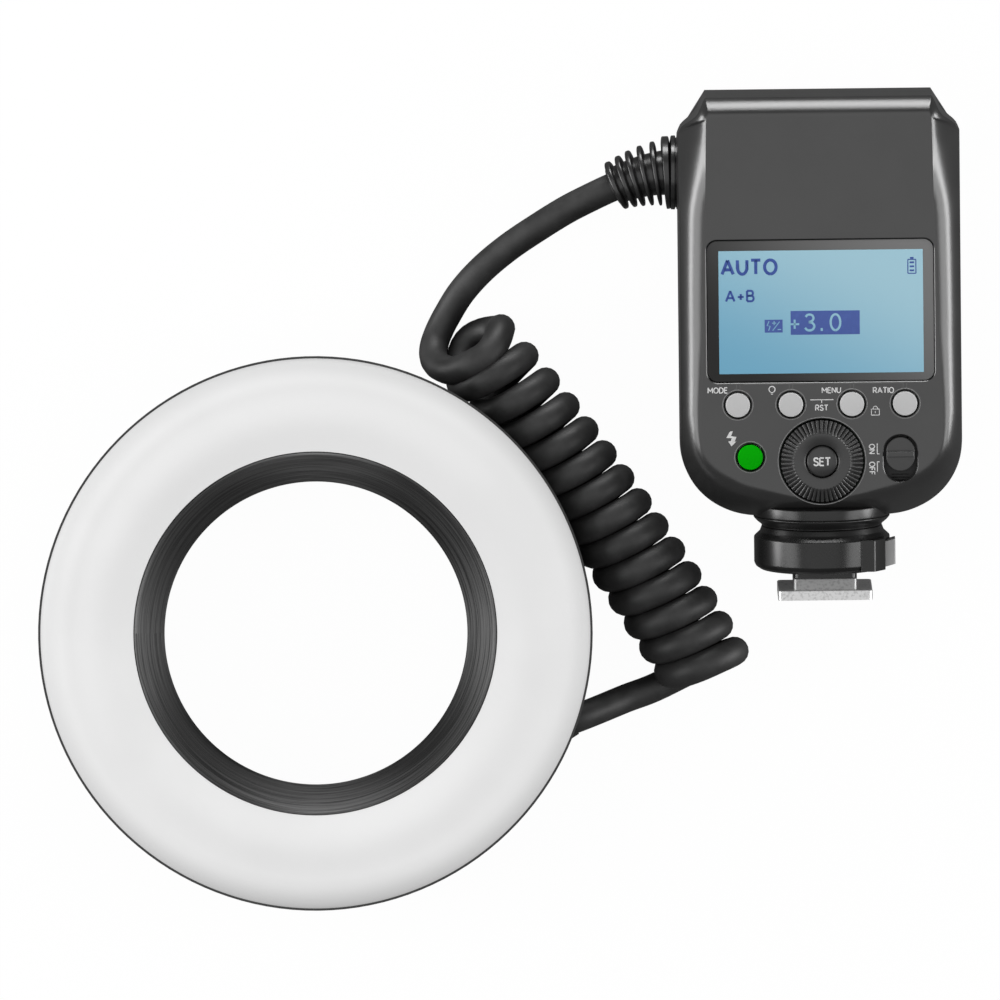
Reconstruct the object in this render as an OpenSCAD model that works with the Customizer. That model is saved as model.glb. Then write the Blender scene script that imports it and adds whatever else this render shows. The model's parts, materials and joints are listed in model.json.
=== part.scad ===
// Macro ring flash: a ring head and a shoe-mount control unit joined by a curly cord.
// It lies face up on a table. The origin is on the axis of the ring's rear bore, at table
// height. X is to the right and Y is up as one looks down on the lit face, +Z leaves the table.

/* [Control unit] */
// Width of the body at its parting line
body_w = 56.6; // [54:0.2:62]
// Height of the body along its own axis
body_h = 85.2; // [82:0.2:94]
// Radius of the two lower corners
body_r = 15; // [11:0.5:18]
// Depth of the front shell, from its face to the parting line
front_depth = 13; // [12.5:0.5:15]
// Height of the lower end of the front face above the table
face_z = 30; // [29:0.5:36]
// Lean of the front face from level
lean = 7; // [5:0.5:9]
// Turn of the unit on the table
turn = 0.65; // [0:0.05:1.5]
// Wall of both shells
wall = 1.8; // [1.5:0.1:2.2]
// How far the front face is drawn in from the parting line
face_inset = 5; // [4:0.5:5.5]
// Height of the sloped band above the front face
band_h = 5.5; // [4:0.5:8]
// How far the back is drawn in from the parting line
rear_draw = 4; // [3:0.5:5]
// Thickness of the back that lies on the table
rear_floor = 2; // [1.6:0.1:2.2]
// Distance of the unit's axis from the ring's axis, to the right
unit_x = 101.4; // [100:0.2:104]
// Distance of the body's lower end from the ring's axis, upwards
unit_y = 22.5; // [21:0.1:24]

/* [Display] */
// Distance of the display window's sides from the body's sides
window_side = 5.7; // [5.4:0.1:8.4]
// Height of the display window
window_h = 28.4; // [24:0.2:29]
// Height of the window's middle on the front face
window_v = 42.3; // [42:0.1:47]
// Corner radius of the window
window_r = 2; // [1:0.25:3]
// Thickness of the window
window_t = 1.2; // [0.8:0.1:1.3]
// Border of the window around the panel behind it
window_border = 2; // [1.5:0.25:3]
// Thickness of the display panel
panel_t = 1.6; // [1.2:0.1:2]

/* [Controls] */
// Radius of the four small buttons
button_r = 2.5; // [2:0.1:2.8]
// Height of the button row on the front face
button_v = 23.5; // [23:0.1:24]
// Distance of the two outer buttons from the unit's axis
button_outer = 16.7; // [15:0.1:18]
// Distance of the two inner buttons from the unit's axis
button_inner = 6.1; // [5:0.1:7]
// Radius of the test button
test_r = 2.6; // [2.2:0.1:3]
// Distance of the test button from the unit's axis
test_u = 14.3; // [13.6:0.1:15]
// Height of the test button
test_v = 13; // [12:0.1:14]
// Radius of the dial
dial_r = 8.2; // [7:0.1:8.6]
// Height of the dial's axis
dial_v = 12.1; // [11.6:0.1:12.4]
// Radius of the set button in the dial
set_r = 3.15; // [2.6:0.05:3.2]
// Distance of the power switch from the unit's axis
switch_u = 15.6; // [15:0.1:16.5]
// Height of the power switch's slot
switch_v = 12.7; // [12.4:0.1:13.5]
// Width of the power switch's slot
slot_w = 7.4; // [6.8:0.1:8]
// Length of the power switch's slot
slot_h = 10.1; // [9.8:0.1:10.6]
// Width of the power knob
knob_w = 5.8; // [5:0.1:6]
// Length of the power knob
knob_h = 7; // [6.4:0.1:7.2]
// How far the power knob slides from on to off, which the switch's groove leaves room for
knob_travel = 1.8; // [1.4:0.1:2]
// How far a button goes in
press = 0.5; // [0.3:0.05:0.6]
// Gap round a button, knob or dial in its hole
button_gap = 0.3; // [0.2:0.05:0.4]

/* [Power parts] */
// Distance of the battery's sides from the body's sides
battery_side = 6.8; // [6.3:0.1:9]
// Distance of the battery's ends from the ends of its door
battery_play = 1; // [0.5:0.25:3]
// Thickness of the battery
battery_t = 14; // [12:0.5:15]
// Distance of the battery door's lower edge from the body's lower end
door_y = 18; // [17:0.5:19]
// Length of the unit above the battery door, which the capacitor and transformer take up
bay_above = 35.2; // [34.7:0.1:37]
// Height of the battery door's lower edge above the table
door_z = 4.5; // [4:0.25:5]
// Height of the battery door's hinge above the table
hinge_z = 15; // [14.5:0.25:15.5]
// Radius of the battery door's hinge pin
pin_r = 0.8; // [0.6:0.05:0.9]
// Radius of the flash capacitor
capacitor_r = 6.5; // [5:0.25:6.75]
// Length of the flash capacitor
capacitor_l = 34; // [28:1:36]

/* [Shoe foot] */
// Width of the shoe plate
plate_w = 18.6; // [18:0.1:18.7]
// Depth of the shoe plate
plate_d = 18; // [16:0.5:19]
// Thickness of the shoe plate
plate_t = 2; // [1.8:0.1:2.2]
// Width of the neck above the plate
neck_w = 12.4; // [11:0.1:12.6]
// Height of the neck between the collar and the plate
neck_h = 3.5; // [3:0.1:4]
// Radius of the locking collar and of the flange above it
collar_r = 13.6; // [12.5:0.1:14]
// Height of the locking collar
collar_h = 8.4; // [7:0.1:9]
// Height of the flange above the collar
flange_h = 2.1; // [1.8:0.1:3]
// Radius of the post that the collar turns on
post_r = 5.2; // [4.5:0.1:5.2]
// Running clearance of a shaft or pin in its hole
run_gap = 0.05; // [0.02:0.01:0.08]
// Radius of the lock pin in the shoe plate
lock_r = 1.1; // [0.9:0.05:1.2]

/* [Ring head] */
// Outer radius of the rear housing
rear_r = 49.5; // [48.5:0.25:52]
// How far the rim stands out beyond the rear housing
rim_overhang = 6; // [5:0.25:7]
// Width of the rear housing, from the bore for a lens adapter to its outer side
channel_w = 12.5; // [12:0.25:14]
// Length of the rear bore
bore_l = 8; // [7.5:0.25:9]
// How far the inner cone's front edge lies inside the bore
cone_step = 1.4; // [1.2:0.1:2]
// How far the cone narrows from its front edge to the clear hole
cone_draw = 5.2; // [4:0.2:7]
// Wall of the rear housing
ring_wall = 2; // [1.6:0.1:2.2]
// Height of the rim's underside above the table
seat_z = 20; // [20:0.25:22]
// Thickness of the housing's flange, of the rim plate and of the cone's wall
ring_t = 1.5; // [1.2:0.1:1.8]
// Height of the diffuser's crown above the rim plate
crown_h = 3.5; // [3:0.25:4.5]
// Wall of the diffuser
diffuser_t = 1.6; // [1.2:0.1:2]
// Radius of the flash tubes
tube_r = 2; // [1.6:0.1:2.2]
// Angle that each flash tube spans
tube_span = 160; // [150:1:164]
// How far a release latch goes in
latch_travel = 1.2; // [0.8:0.1:1.2]
// Thickness of a release latch
latch_t = 1.2; // [1:0.1:1.3]

/* [Cord] */
// Diameter of the cord
cord_d = 5.1; // [4.6:0.1:5.1]
// Radius of the curls, to the middle of the cord
coil_r = 6.8; // [6:0.1:7]
// Lean of the curls along the coil
coil_lean = 10; // [6:1:10]
// Number of curls
curls = 14; // [12:1:14]

/* [Hidden] */
$fn = 64;
eps = 0.1;
// A seat where one flat part lies on another with room for tolerance
seat_gap = 0.2;

// Sizes that follow the body and the rear housing
window_w = body_w - 2 * window_side;
battery_w = body_w - 2 * battery_side;
door_h = body_h - door_y - bay_above;
battery_h = door_h - 2 * battery_play;
ring_r = rear_r + rim_overhang;
bore_r = rear_r - channel_w;
cone_r = bore_r - cone_step;
hole_r = cone_r - cone_draw;

// Stack of the control panel, as depths below the front face
panel_top = -wall - seat_gap;
backlight_top = panel_top - panel_t - eps;
board_top = backlight_top - 2.3 - seat_gap;
board_t = 1.6;
plunger_top = board_top + 1.6;
stem_end = plunger_top + press + 0.1;
button_proud = 0.6;
button_flange = 0.9;
button_flange_top = -wall - button_gap;
tact_w = 4.4;
hub_r = set_r + 0.85;
hub_bore = set_r + 0.2;
button_spots = [[-button_outer, button_v], [-button_inner, button_v], [button_inner, button_v],
    [button_outer, button_v], [-test_u, test_v], [0, dial_v]];

// The drafted outline of the body: how much the top narrows, and over what height
shoulder_w = 5.7;
shoulder_h = 9;
side_depth = 4;
side_inset = 0.9;
corner_steps = 8;

// Screws through the back into the front shell, as spots on the table plane
screw_r = 1.1;
screw_head_r = 2.2;
screw_head_h = 1.4;
screw_boss_r = 2.6;
screw_seat = 0.3;
screw_low_side = 11.8;
screw_low_end = 6.2;
screw_high_side = 11.3;
screw_high_end = 9.5;
screw_low = [body_w / 2 - screw_low_side, screw_low_end];
screw_high = [body_w / 2 - screw_high_side, body_h - screw_high_end];
screw_spots = [for (s = [screw_low, screw_high], d = [-1, 1]) [d * s[0], s[1]]];
screw_short = 4.5;
screw_top = face_z - screw_short;

// Battery bay and the parts above it
battery_x = 0.2;
battery_z = rear_floor + 0.3;
contact_lift = 3;
door_gap = 0.3;
hinge_relief = 0.6;
knuckle_r = pin_r + 0.7;
lug_t = 3;
capacitor_y = door_y + door_h + 3 + capacitor_r;
capacitor_z = rear_floor + 0.3 + capacitor_r;
transformer = [15, 10, 13];
transformer_y = capacitor_y + capacitor_r + 2;
power_board = [27, 23, 1.6];

// Cord outlet on the unit's left side, in the table frame of the unit
outlet_drop = 15.3;
outlet_proud = 2.2;
outlet_y = body_h - outlet_drop;
outlet_z = 14;
outlet_x = -body_w / 2 - outlet_proud;
outlet_r = 7.5;
outlet_l = 8;
spigot_r = 5;
spigot_l = 9;
spigot_room = 3;

// Foot, along the unit's axis below the body
foot_w = -front_depth;
collar_top = -flange_h - 0.5;
collar_end = collar_top - collar_h;
plate_top = collar_end - neck_h;
plate_end = plate_top - plate_t;
release_u = collar_r - 2;
release_size = [3.3, 5.2, 4.4];
release_travel = 1;
foot_screw_r = 1;
foot_screw_ring = 10.2;
foot_screw_v = 5.3;
foot_screw_head_r = 1.7;
foot_screw_head_h = 1;
foot_hole_v = 6;
foot_hole_l = 10;
// Round plug of the foot that fills the opening in the lower end of both shells
plug_r = 8;
plug_v = 3.2;
lock_w = foot_w + post_r + 0.2 + lock_r;
neck_inset = 0.6;
recess = [13.2, 0.4, 11];
recess_w = 6;
contact_r = 0.9;
contact_proud = 0.4;
contact_spots = [[0, 0], [-4.6, 3], [4.6, 3], [-4.6, -4], [4.6, -4]];

// Ring, as radii and heights
ring_floor = 2;
flange_r = ring_r - 0.6;
plate_z = seat_z + ring_t;
diffuser_z = plate_z + ring_t;
rim_lip = 0.4;
latch_z = ring_floor + 0.3;
latch_step = latch_t + 0.3;
latch_in = bore_r + ring_wall + latch_travel + 0.2;
latch_out = rear_r - ring_wall - 1.3 - latch_travel - 0.2;
latch_w = 10;
hook_w = 8;
hook_tip = bore_r + 0.4;
tab_proud = 1.9;
ring_board_z = latch_z + 2 * latch_step + 0.7;
ring_board_t = 1.4;
ring_board_in = bore_r + ring_wall + 0.3;
ring_board_out = rear_r - ring_wall - 0.3;
reflector_z = ring_board_z + ring_board_t;
reflector_t = 0.8;
reflector_low = bore_l + 6;
reflector_in = ring_board_in + 0.2;
reflector_out = ring_board_out - 0.3;
tube_path = (reflector_in + reflector_out) / 2;
holder_half = (reflector_out - reflector_in) / 2 - reflector_t - 0.2;
tube_z = reflector_z + reflector_t + tube_r + 2;
holder_over = 1;
holder_h = tube_z + holder_over - reflector_z - reflector_t;
holder_l = 3.8;
holder_end = 0.8;
holder_gap = 0.15;
lamp_w = 5;
lamp_h = 3;
lamp_lens_r = 1.8;
lamp_lens_h = 2;
ring_screw_path = (rear_r + flange_r) / 2;
ring_screw_angles = [105, 165, 225, 285];

// Cord gland on the ring: its face, its direction and its size
ring_gland_face = [51.2, -17.5, 9.5];
ring_gland_turn = 23;
ring_gland_r = 4;
ring_gland_l = 14;

// Coil: first and last curl's right side, the bow between them, how the first curls open
coil_from = [32, 56.7];
coil_to = [78.1, -6.9];
coil_bow = 1.75;
coil_open = 2;
coil_ease = 1.83;
coil_start = -0.389;
coil_end = curls - 0.75;
coil_rest = coil_r * cos(coil_lean) + cord_d / 2 + 0.15;
// Turn of the last half curl towards the ring
tail_swing = 8;
rings_per_curl = 8;
coil_sides = 6;
lead_sides = 10;

// Route of the cord from the end of the unit's boot to the coil
upper_route = [[55.5, 87.6, 12.6], [50.2, 84.9, 11.6], [44.5, 81.4, 10.2],
    [38.7, 77.5, 8.6], [33.5, 73.2, 6.9], [29.3, 68.6, 5.2], [26.3, 64, 3.9], [24.2, 60.2, 3.3],
    [22.7, 57, 4], [21.8, 54.9, 5.7], [22, 53.9, 7.8]];
// Route of the cord from the coil to the ring's gland
lower_route = [[68.2, -12, 2.6], [62.4, -13.6, 4.3], [57, -15.3, 7.2], [53.2, -16.7, 9.1]];

// Boot: how far it runs straight out of the outlet, where its end lies from there, and its ribs
boot_straight = 4.6;
boot_reach = [-10.4, -2.55, -0.9];
boot_gap = 0.1;
boot_ribs = 5;
boot_rib_first = 6.4;
boot_rib_last = 5;
boot_core = 3.9;
boot_flange_r = 7.3;

// Frames and small shapes

module unit_frame() {
    translate([unit_x, unit_y, face_z]) rotate([lean, 0, turn]) children();
}

module bench_frame() {
    translate([unit_x, unit_y, 0]) rotate([0, 0, turn]) children();
}

// Round bar along the unit's axis, from v0 down to v1
module axis_bar(r, v0, v1, u = 0, w = foot_w) {
    translate([u, v0, w]) rotate([90, 0, 0]) cylinder(r = r, h = v0 - v1);
}

// Plate with round corners, standing on z
module round_plate(size, r, t) {
    x = size[0] / 2 - r;
    y = size[1] / 2 - r;
    translate([-x - r, -y, 0]) cube([size[0], 2 * y, t]);
    translate([-x, -y - r, 0]) cube([2 * x, size[1], t]);
    for (sx = [-1, 1], sy = [-1, 1]) translate([sx * x, sy * y, 0]) cylinder(r = r, h = t);
}

// Plate with two half-round ends, longer along y
module stadium(w, l, t) {
    s = (l - w) / 2;
    translate([-w / 2, -s, 0]) cube([w, 2 * s, t]);
    for (d = [-1, 1]) translate([0, d * s, 0]) cylinder(d = w, h = t);
}

module tube(r_out, r_in, h) {
    difference() {
        cylinder(r = r_out, h = h);
        translate([0, 0, -eps]) cylinder(r = r_in, h = h + 2 * eps);
    }
}

// Swept tubes

function unit_vec(v) = v / norm(v);
function tangents(p, first, last) = [for (i = [0:len(p) - 1])
    i == 0 ? unit_vec(first) : i == len(p) - 1 ? unit_vec(last) : unit_vec(p[i + 1] - p[i - 1])];
function carried(t, n, i = 0) = i == len(t) ? [] :
    let (m = unit_vec(n - t[i] * (n * t[i]))) concat([m], carried(t, m, i + 1));

// One closed tube along points p with a radius at each, square to first and last at its ends
module sweep(p, radii, first, last, sides) {
    t = tangents(p, first, last);
    n = carried(t, [0.1, 0.2, 1]);
    rings = len(p);
    points = [for (i = [0:rings - 1], j = [0:sides - 1])
        let (a = 360 * j / sides) p[i] + radii[i] * (cos(a) * n[i] + sin(a) * cross(t[i], n[i]))];
    faces = concat(
        [for (i = [0:rings - 2], j = [0:sides - 1])
            let (k = (j + 1) % sides) [i * sides + j, (i + 1) * sides + j, i * sides + k]],
        [for (i = [0:rings - 2], j = [0:sides - 1])
            let (k = (j + 1) % sides) [i * sides + k, (i + 1) * sides + j, (i + 1) * sides + k]],
        [for (j = [1:sides - 2]) [0, j, j + 1]],
        [for (j = [1:sides - 2]) let (b = (rings - 1) * sides) [b, b + j + 1, b + j]]);
    polyhedron(points, faces, convexity = 10);
}

// Curls: k counts curls from the first one's right side

coil_chord = norm(coil_to - coil_from);
coil_pitch = (coil_chord - coil_open) / (curls - 1);
function coil_run(k) = (coil_pitch * k + coil_open * (1 - exp(-k / coil_ease))) / coil_chord;
function coil_along(k) = let (c = (coil_to - coil_from) / coil_chord, s = [-c[1], c[0]])
    unit_vec(c * coil_chord + 4 * coil_bow * (1 - 2 * coil_run(k)) * s);
function coil_axis(k) = let (q = coil_run(k), c = coil_to - coil_from, s = [-c[1], c[0]] / coil_chord)
    coil_from + c * q + 4 * coil_bow * q * (1 - q) * s;
function eased(x) = x <= 0 ? 0 : x >= 1 ? 1 : x * x * (3 - 2 * x);
function coil_swing(k) = tail_swing * eased((k - coil_end + 0.5) / 0.5);
function coil_point(k) = let (o = coil_axis(k), a = coil_along(k), s = [-a[1], a[0]],
        g = coil_swing(k), side = s * cos(g) + a * sin(g), q = -360 * k,
        flat = o + coil_r * (cos(q) * side + sin(q) * sin(coil_lean) * a))
    [flat[0], flat[1], coil_rest + coil_r * sin(q) * cos(coil_lean)];
function coil_heading(k) = unit_vec(coil_point(k + 0.01) - coil_point(k - 0.01));
coil_steps = round((coil_end - coil_start) * rings_per_curl);
coil_middle = [for (i = [0:coil_steps])
    coil_point(coil_start + (coil_end - coil_start) * i / coil_steps)];
coil_first = coil_middle[0] - cord_d * coil_heading(coil_start);
coil_last = coil_middle[coil_steps] + cord_d * coil_heading(coil_end);

// Least gap between one curl and the next, measured along the cord's middle
function coil_gap() = let (per = 24, steps = round((coil_end - coil_start) * per),
        p = [for (i = [0:steps]) coil_point(coil_start + i / per)])
    min([for (i = [0:steps - 16])
        min([for (j = [i + 16:min(steps, i + 32)]) norm(p[i] - p[j])])]) - cord_d;

// Body shells

function arc_points(cx, cy, r, a0, a1) = [for (i = [0:corner_steps])
    let (a = a0 + (a1 - a0) * i / corner_steps) [cx + r * cos(a), cy + r * sin(a)]];
function body_outline(inset, cut) = let (h = body_w / 2 - inset, r = max(1, body_r - inset))
    concat(arc_points(h - r, inset + r, r, -90, 0),
        [[h, body_h - shoulder_h - cut], [h - shoulder_w, body_h - cut],
            [shoulder_w - h, body_h - cut], [-h, body_h - shoulder_h - cut]],
        arc_points(r - h, inset + r, r, 180, 270));

module body_slab(inset, cut, z0, z1) {
    translate([0, 0, z0]) linear_extrude(z1 - z0) polygon(body_outline(inset, cut));
}

module front_outer() {
    hull() {
        body_slab(face_inset, band_h, -seat_gap, 0);
        body_slab(side_inset, band_h * 0.55, -side_depth - seat_gap, -side_depth);
        body_slab(0, 0, -front_depth, -front_depth + side_depth);
    }
}

module front_inner() {
    hull() {
        body_slab(face_inset + wall / 2, band_h + wall, -wall - seat_gap, -wall);
        body_slab(side_inset + wall, band_h * 0.55 + wall, -side_depth - wall - seat_gap,
            -side_depth - wall);
        body_slab(wall, wall, -front_depth - eps, -front_depth + side_depth - wall);
    }
}

module rear_outer() {
    hull() {
        unit_frame() body_slab(0, 0, -front_depth - 3, -front_depth);
        bench_frame() body_slab(rear_draw, rear_draw, 0, eps);
    }
}

module rear_inner() {
    hull() {
        unit_frame() body_slab(wall, wall, -front_depth - 3, -front_depth + eps);
        bench_frame() body_slab(rear_draw + wall, rear_draw + wall, rear_floor, rear_floor + eps);
    }
}

module screw_spots() {
    bench_frame() for (s = screw_spots) translate([s[0], s[1], 0]) children();
}

module front_shell() {
    color("#484848") difference() {
        union() {
            unit_frame() difference() {
                front_outer();
                front_inner();
            }
            intersection() {
                unit_frame() front_outer();
                screw_spots() cylinder(r = screw_boss_r, h = face_z * 2);
            }
        }
        screw_spots() cylinder(r = screw_r, h = screw_top + seat_gap);
        unit_frame() {
            translate([0, window_v, -window_t - eps])
                round_plate([window_w + 2 * eps, window_h + 2 * eps], window_r, window_t + 1);
            translate([0, window_v, -wall - 1])
                round_plate([window_w - 2 * window_border, window_h - 2 * window_border], 1, wall + 1);
            for (i = [0:3]) control_hole(button_spots[i], button_r + button_gap);
            control_hole([-test_u, test_v], test_r + button_gap);
            control_hole([0, dial_v], dial_r + button_gap);
            translate([switch_u, switch_v, -wall * 3]) stadium(slot_w, slot_h, wall * 4);
            translate([0, 0, foot_w]) foot_holes();
            axis_bar(plug_r + eps, plug_v + 3, -5);
        }
    }
}

module control_hole(spot, r) {
    translate([spot[0], spot[1], -wall * 3]) cylinder(r = r, h = wall * 4);
}

// Holes in the lower wall for the screws that hold the foot
module foot_holes() {
    for (a = [45:90:315]) rotate([0, a, 0]) translate([foot_screw_ring, foot_hole_v, 0])
        rotate([90, 0, 0]) cylinder(r = foot_screw_r + eps, h = foot_hole_l);
}

module door_box(gap) {
    bench_frame() translate([-body_w / 2 - 2, door_y + gap, door_z + gap])
        cube([wall * 6, door_h - 2 * gap, hinge_z - door_z - gap]);
}

// How far the side wall is drawn in at the hinge
hinge_draw = 0.68;
hinge_x = -body_w / 2 + hinge_draw + wall / 2;

module hinge_bar(r, y0, y1) {
    bench_frame() translate([hinge_x, y0, hinge_z]) rotate([-90, 0, 0])
        cylinder(r = r, h = y1 - y0);
}

module rear_shell() {
    color("#2e2e2e") difference() {
        union() {
            difference() {
                rear_outer();
                rear_inner();
            }
            intersection() {
                rear_outer();
                union() {
                    screw_spots() cylinder(r = screw_boss_r, h = face_z * 2);
                    bench_frame() for (y = [door_y - lug_t, door_y + door_h])
                        translate([hinge_x - 3, y, hinge_z - knuckle_r - 0.5])
                            cube([3 + knuckle_r, lug_t, 2 * knuckle_r + 1]);
                }
            }
        }
        door_box(0);
        hinge_bar(knuckle_r + hinge_relief, door_y, door_y + door_h);
        hinge_bar(pin_r, door_y - lug_t + 0.5, door_y + door_h + lug_t - 0.5);
        screw_spots() {
            translate([0, 0, -eps]) cylinder(r = screw_r + 0.15, h = face_z * 2);
            translate([0, 0, -eps]) cylinder(r = screw_head_r + 0.2, h = screw_seat + screw_head_h + eps);
        }
        outlet_bar(spigot_r + eps, spigot_l + spigot_room);
        unit_frame() translate([0, 0, foot_w]) foot_holes();
        unit_frame() axis_bar(plug_r + eps, plug_v + 3, -5);
    }
}

module shell_screws() {
    color("#8a8a8c") screw_spots() translate([0, 0, screw_seat]) {
        cylinder(r = screw_head_r, h = screw_head_h);
        cylinder(r = screw_r - eps, h = screw_top - screw_seat);
    }
}

// Display

module lcd_window() {
    color("#15181b") unit_frame() translate([0, window_v, -window_t - eps])
        round_plate([window_w, window_h], window_r, window_t);
}

module lcd_panel() {
    color("#8dc0d6") unit_frame() translate([0, window_v, panel_top - panel_t])
        round_plate([window_w - window_border, window_h - window_border], 0.5, panel_t);
}

module lcd_backlight() {
    color("#e8ecec") unit_frame() translate([0, window_v, board_top + seat_gap])
        round_plate([window_w - window_border, window_h - window_border], 0.5,
            backlight_top - board_top - seat_gap);
}

// Control board and what stands on it

// Distance of the control board from the body's sides and lower end, and past the window's top
board_side = 7;
board_v = 6;
board_past = 2;

module main_board() {
    color("#1f5a36") difference() {
        unit_frame() translate([-body_w / 2 + board_side, board_v, board_top - board_t])
            cube([body_w - 2 * board_side, window_v + window_h / 2 + board_past - board_v, board_t]);
        screw_spots() cylinder(r = screw_boss_r + 0.3, h = face_z * 2);
    }
}

module press_button(spot, r) {
    unit_frame() translate([spot[0], spot[1], 0]) {
        translate([0, 0, button_flange_top - button_flange])
            cylinder(r = r, h = button_proud - button_flange_top + button_flange);
        translate([0, 0, button_flange_top - button_flange])
            cylinder(r = r + 0.8, h = button_flange);
        translate([0, 0, stem_end]) cylinder(r = 1, h = button_flange_top - stem_end);
    }
}

module mode_button() { color("#c6c6c6") press_button(button_spots[0], button_r); }
module lamp_button() { color("#c6c6c6") press_button(button_spots[1], button_r); }
module menu_button() { color("#c6c6c6") press_button(button_spots[2], button_r); }
module ratio_button() { color("#c6c6c6") press_button(button_spots[3], button_r); }
module test_button() { color("#0a9e08") press_button(button_spots[4], test_r); }

module set_button() {
    color("#3a3a3a") unit_frame() translate([0, dial_v, 0]) {
        translate([0, 0, button_flange_top - button_flange])
            cylinder(r = set_r, h = 1.4 - button_flange_top + button_flange);
        translate([0, 0, stem_end]) cylinder(r = 1, h = button_flange_top - stem_end);
    }
}

module tact_switches() {
    color("#b8b8b0") unit_frame() for (s = button_spots) translate([s[0], s[1], board_top]) {
        translate([-tact_w / 2, -tact_w / 2, 0]) cube([tact_w, tact_w, 1]);
        cylinder(r = 1, h = plunger_top - board_top);
    }
}

module dial() {
    color("#424242") unit_frame() translate([0, dial_v, 0]) {
        difference() {
            union() {
                translate([0, 0, -wall + 0.4]) cylinder(r = dial_r, h = wall + 0.6);
                translate([0, 0, 1]) cylinder(r1 = dial_r, r2 = dial_r - 0.5, h = 0.5);
                translate([0, 0, board_top + 0.9]) cylinder(r = hub_r + 1, h = 1 - board_top - 0.9);
            }
            translate([0, 0, board_top])
                cylinder(r = hub_r + run_gap, h = -wall - seat_gap - board_top + 0.4);
            translate([0, 0, board_top]) cylinder(r = set_r + button_gap, h = 10);
        }
    }
}

module dial_encoder() {
    color("#9a9a94") unit_frame() translate([0, dial_v, board_top]) difference() {
        union() {
            cylinder(r = hub_r + 2, h = 0.6);
            cylinder(r = hub_r, h = -wall - board_top - seat_gap);
        }
        translate([0, 0, -eps]) cylinder(r = hub_bore, h = 10);
    }
}

// The knob rests at the top of its slot, which is on
knob_v = switch_v + (slot_h - knob_h) / 2 - 0.5;
knob_stem = 2;
groove_l = knob_stem + knob_travel + 1.4;

module power_knob() {
    color("#4e4e4e") unit_frame() translate([switch_u, knob_v, 0]) {
        translate([0, 0, -wall - 0.6]) stadium(knob_w, knob_h, wall + 0.6);
        translate([-knob_w / 2 + 0.3, -0.9, -eps]) cube([knob_w - 0.6, 0.9, 0.7]);
        translate([-knob_stem / 2, -knob_stem / 2, plunger_top - 0.2])
            cube([knob_stem, knob_stem, -plunger_top - wall]);
    }
}

module slide_switch() {
    color("#a8a8a0") unit_frame() translate([switch_u, switch_v, board_top]) difference() {
        translate([-4, -3.1, 0]) cube([8, 6.2, 2]);
        translate([-knob_stem / 2 - 0.4, -groove_l / 2, 1]) cube([knob_stem + 0.8, groove_l, 2]);
    }
}

module ready_led() {
    color("#b9e8b0") unit_frame() translate([-test_u + 3.4, test_v - 4.6, board_top])
        cube([1.6, 1.2, 0.8]);
}

// Power parts in the rear shell

module battery_pack() {
    color("#26282b") bench_frame()
        translate([battery_x - battery_w / 2, door_y + battery_play, battery_z])
            cube([battery_w, battery_h, battery_t]);
}

module battery_contacts() {
    color("#c9a648") bench_frame() for (i = [-1:1])
        translate([battery_x + battery_w / 2 + seat_gap, door_y + door_h / 2 + i * 4 - 1,
            battery_z + contact_lift]) cube([1, 2, battery_t - 2 * contact_lift]);
}

module battery_door() {
    color("#2c2c2c") difference() {
        union() {
            intersection() {
                door_box(door_gap);
                difference() {
                    rear_outer();
                    rear_inner();
                }
            }
            hinge_bar(knuckle_r, door_y + door_gap, door_y + door_h - door_gap);
        }
        hinge_bar(pin_r + run_gap, door_y - 1, door_y + door_h + 1);
    }
}

module battery_door_pin() {
    color("#b4b4b6") hinge_bar(pin_r, door_y - lug_t + 0.5, door_y + door_h + lug_t - 0.5);
}

module power_board() {
    color("#1f5a36") bench_frame()
        translate([-power_board[0] / 2, capacitor_y - capacitor_r + 1,
            rear_floor + 0.3 + transformer[2]]) cube(power_board);
}

module flash_capacitor() {
    color("#202a3c") bench_frame() translate([-capacitor_l / 2, capacitor_y, capacitor_z])
        rotate([0, 90, 0]) cylinder(r = capacitor_r, h = capacitor_l);
}

module transformer() {
    color("#8a6a2c") bench_frame() translate([-transformer[0] / 2, transformer_y, rear_floor + 0.3])
        cube(transformer);
}

// Cord outlet of the unit

module cable_gland() {
    color("#1e1e1e") {
        difference() {
            outlet_bar(outlet_r, outlet_l);
            rear_outer();
        }
        outlet_bar(spigot_r, spigot_l);
    }
}

module outlet_bar(r, l) {
    bench_frame() translate([outlet_x, outlet_y, outlet_z]) rotate([0, 90, 0])
        cylinder(r = r, h = l);
}

outlet_way = [-cos(turn), -sin(turn), 0];
boot_from = [unit_x + outlet_x * cos(turn) - outlet_y * sin(turn),
    unit_y + outlet_x * sin(turn) + outlet_y * cos(turn), outlet_z] + boot_gap * outlet_way;
boot_bend = boot_from + boot_straight * outlet_way;
boot_to = boot_from + boot_reach;
function boot_point(t) = (1 - t) * (1 - t) * boot_from + 2 * t * (1 - t) * boot_bend + t * t * boot_to;
boot_flange_part = 0.16;
boot_rib_part = 0.06;
boot_step = (1 - boot_flange_part - boot_rib_part) / boot_ribs;
boot_profile = concat(
    [[0, boot_flange_r], [boot_flange_part, boot_flange_r], [boot_flange_part + 0.01, boot_core + 0.6]],
    [for (i = [0:boot_ribs - 1], e = [[-0.01, 0], [0, 1], [1, 1], [1.01, 0]])
        let (r = boot_rib_first + (boot_rib_last - boot_rib_first) * i / (boot_ribs - 1),
            core = boot_core + 0.6 * (1 - i / boot_ribs))
        [boot_flange_part + boot_rib_part + i * boot_step + e[0] * boot_step * 0.55
            + (e[0] == 1.01 ? 0.01 : 0), e[1] == 1 ? r : core]],
    [[1, boot_core]]);

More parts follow.
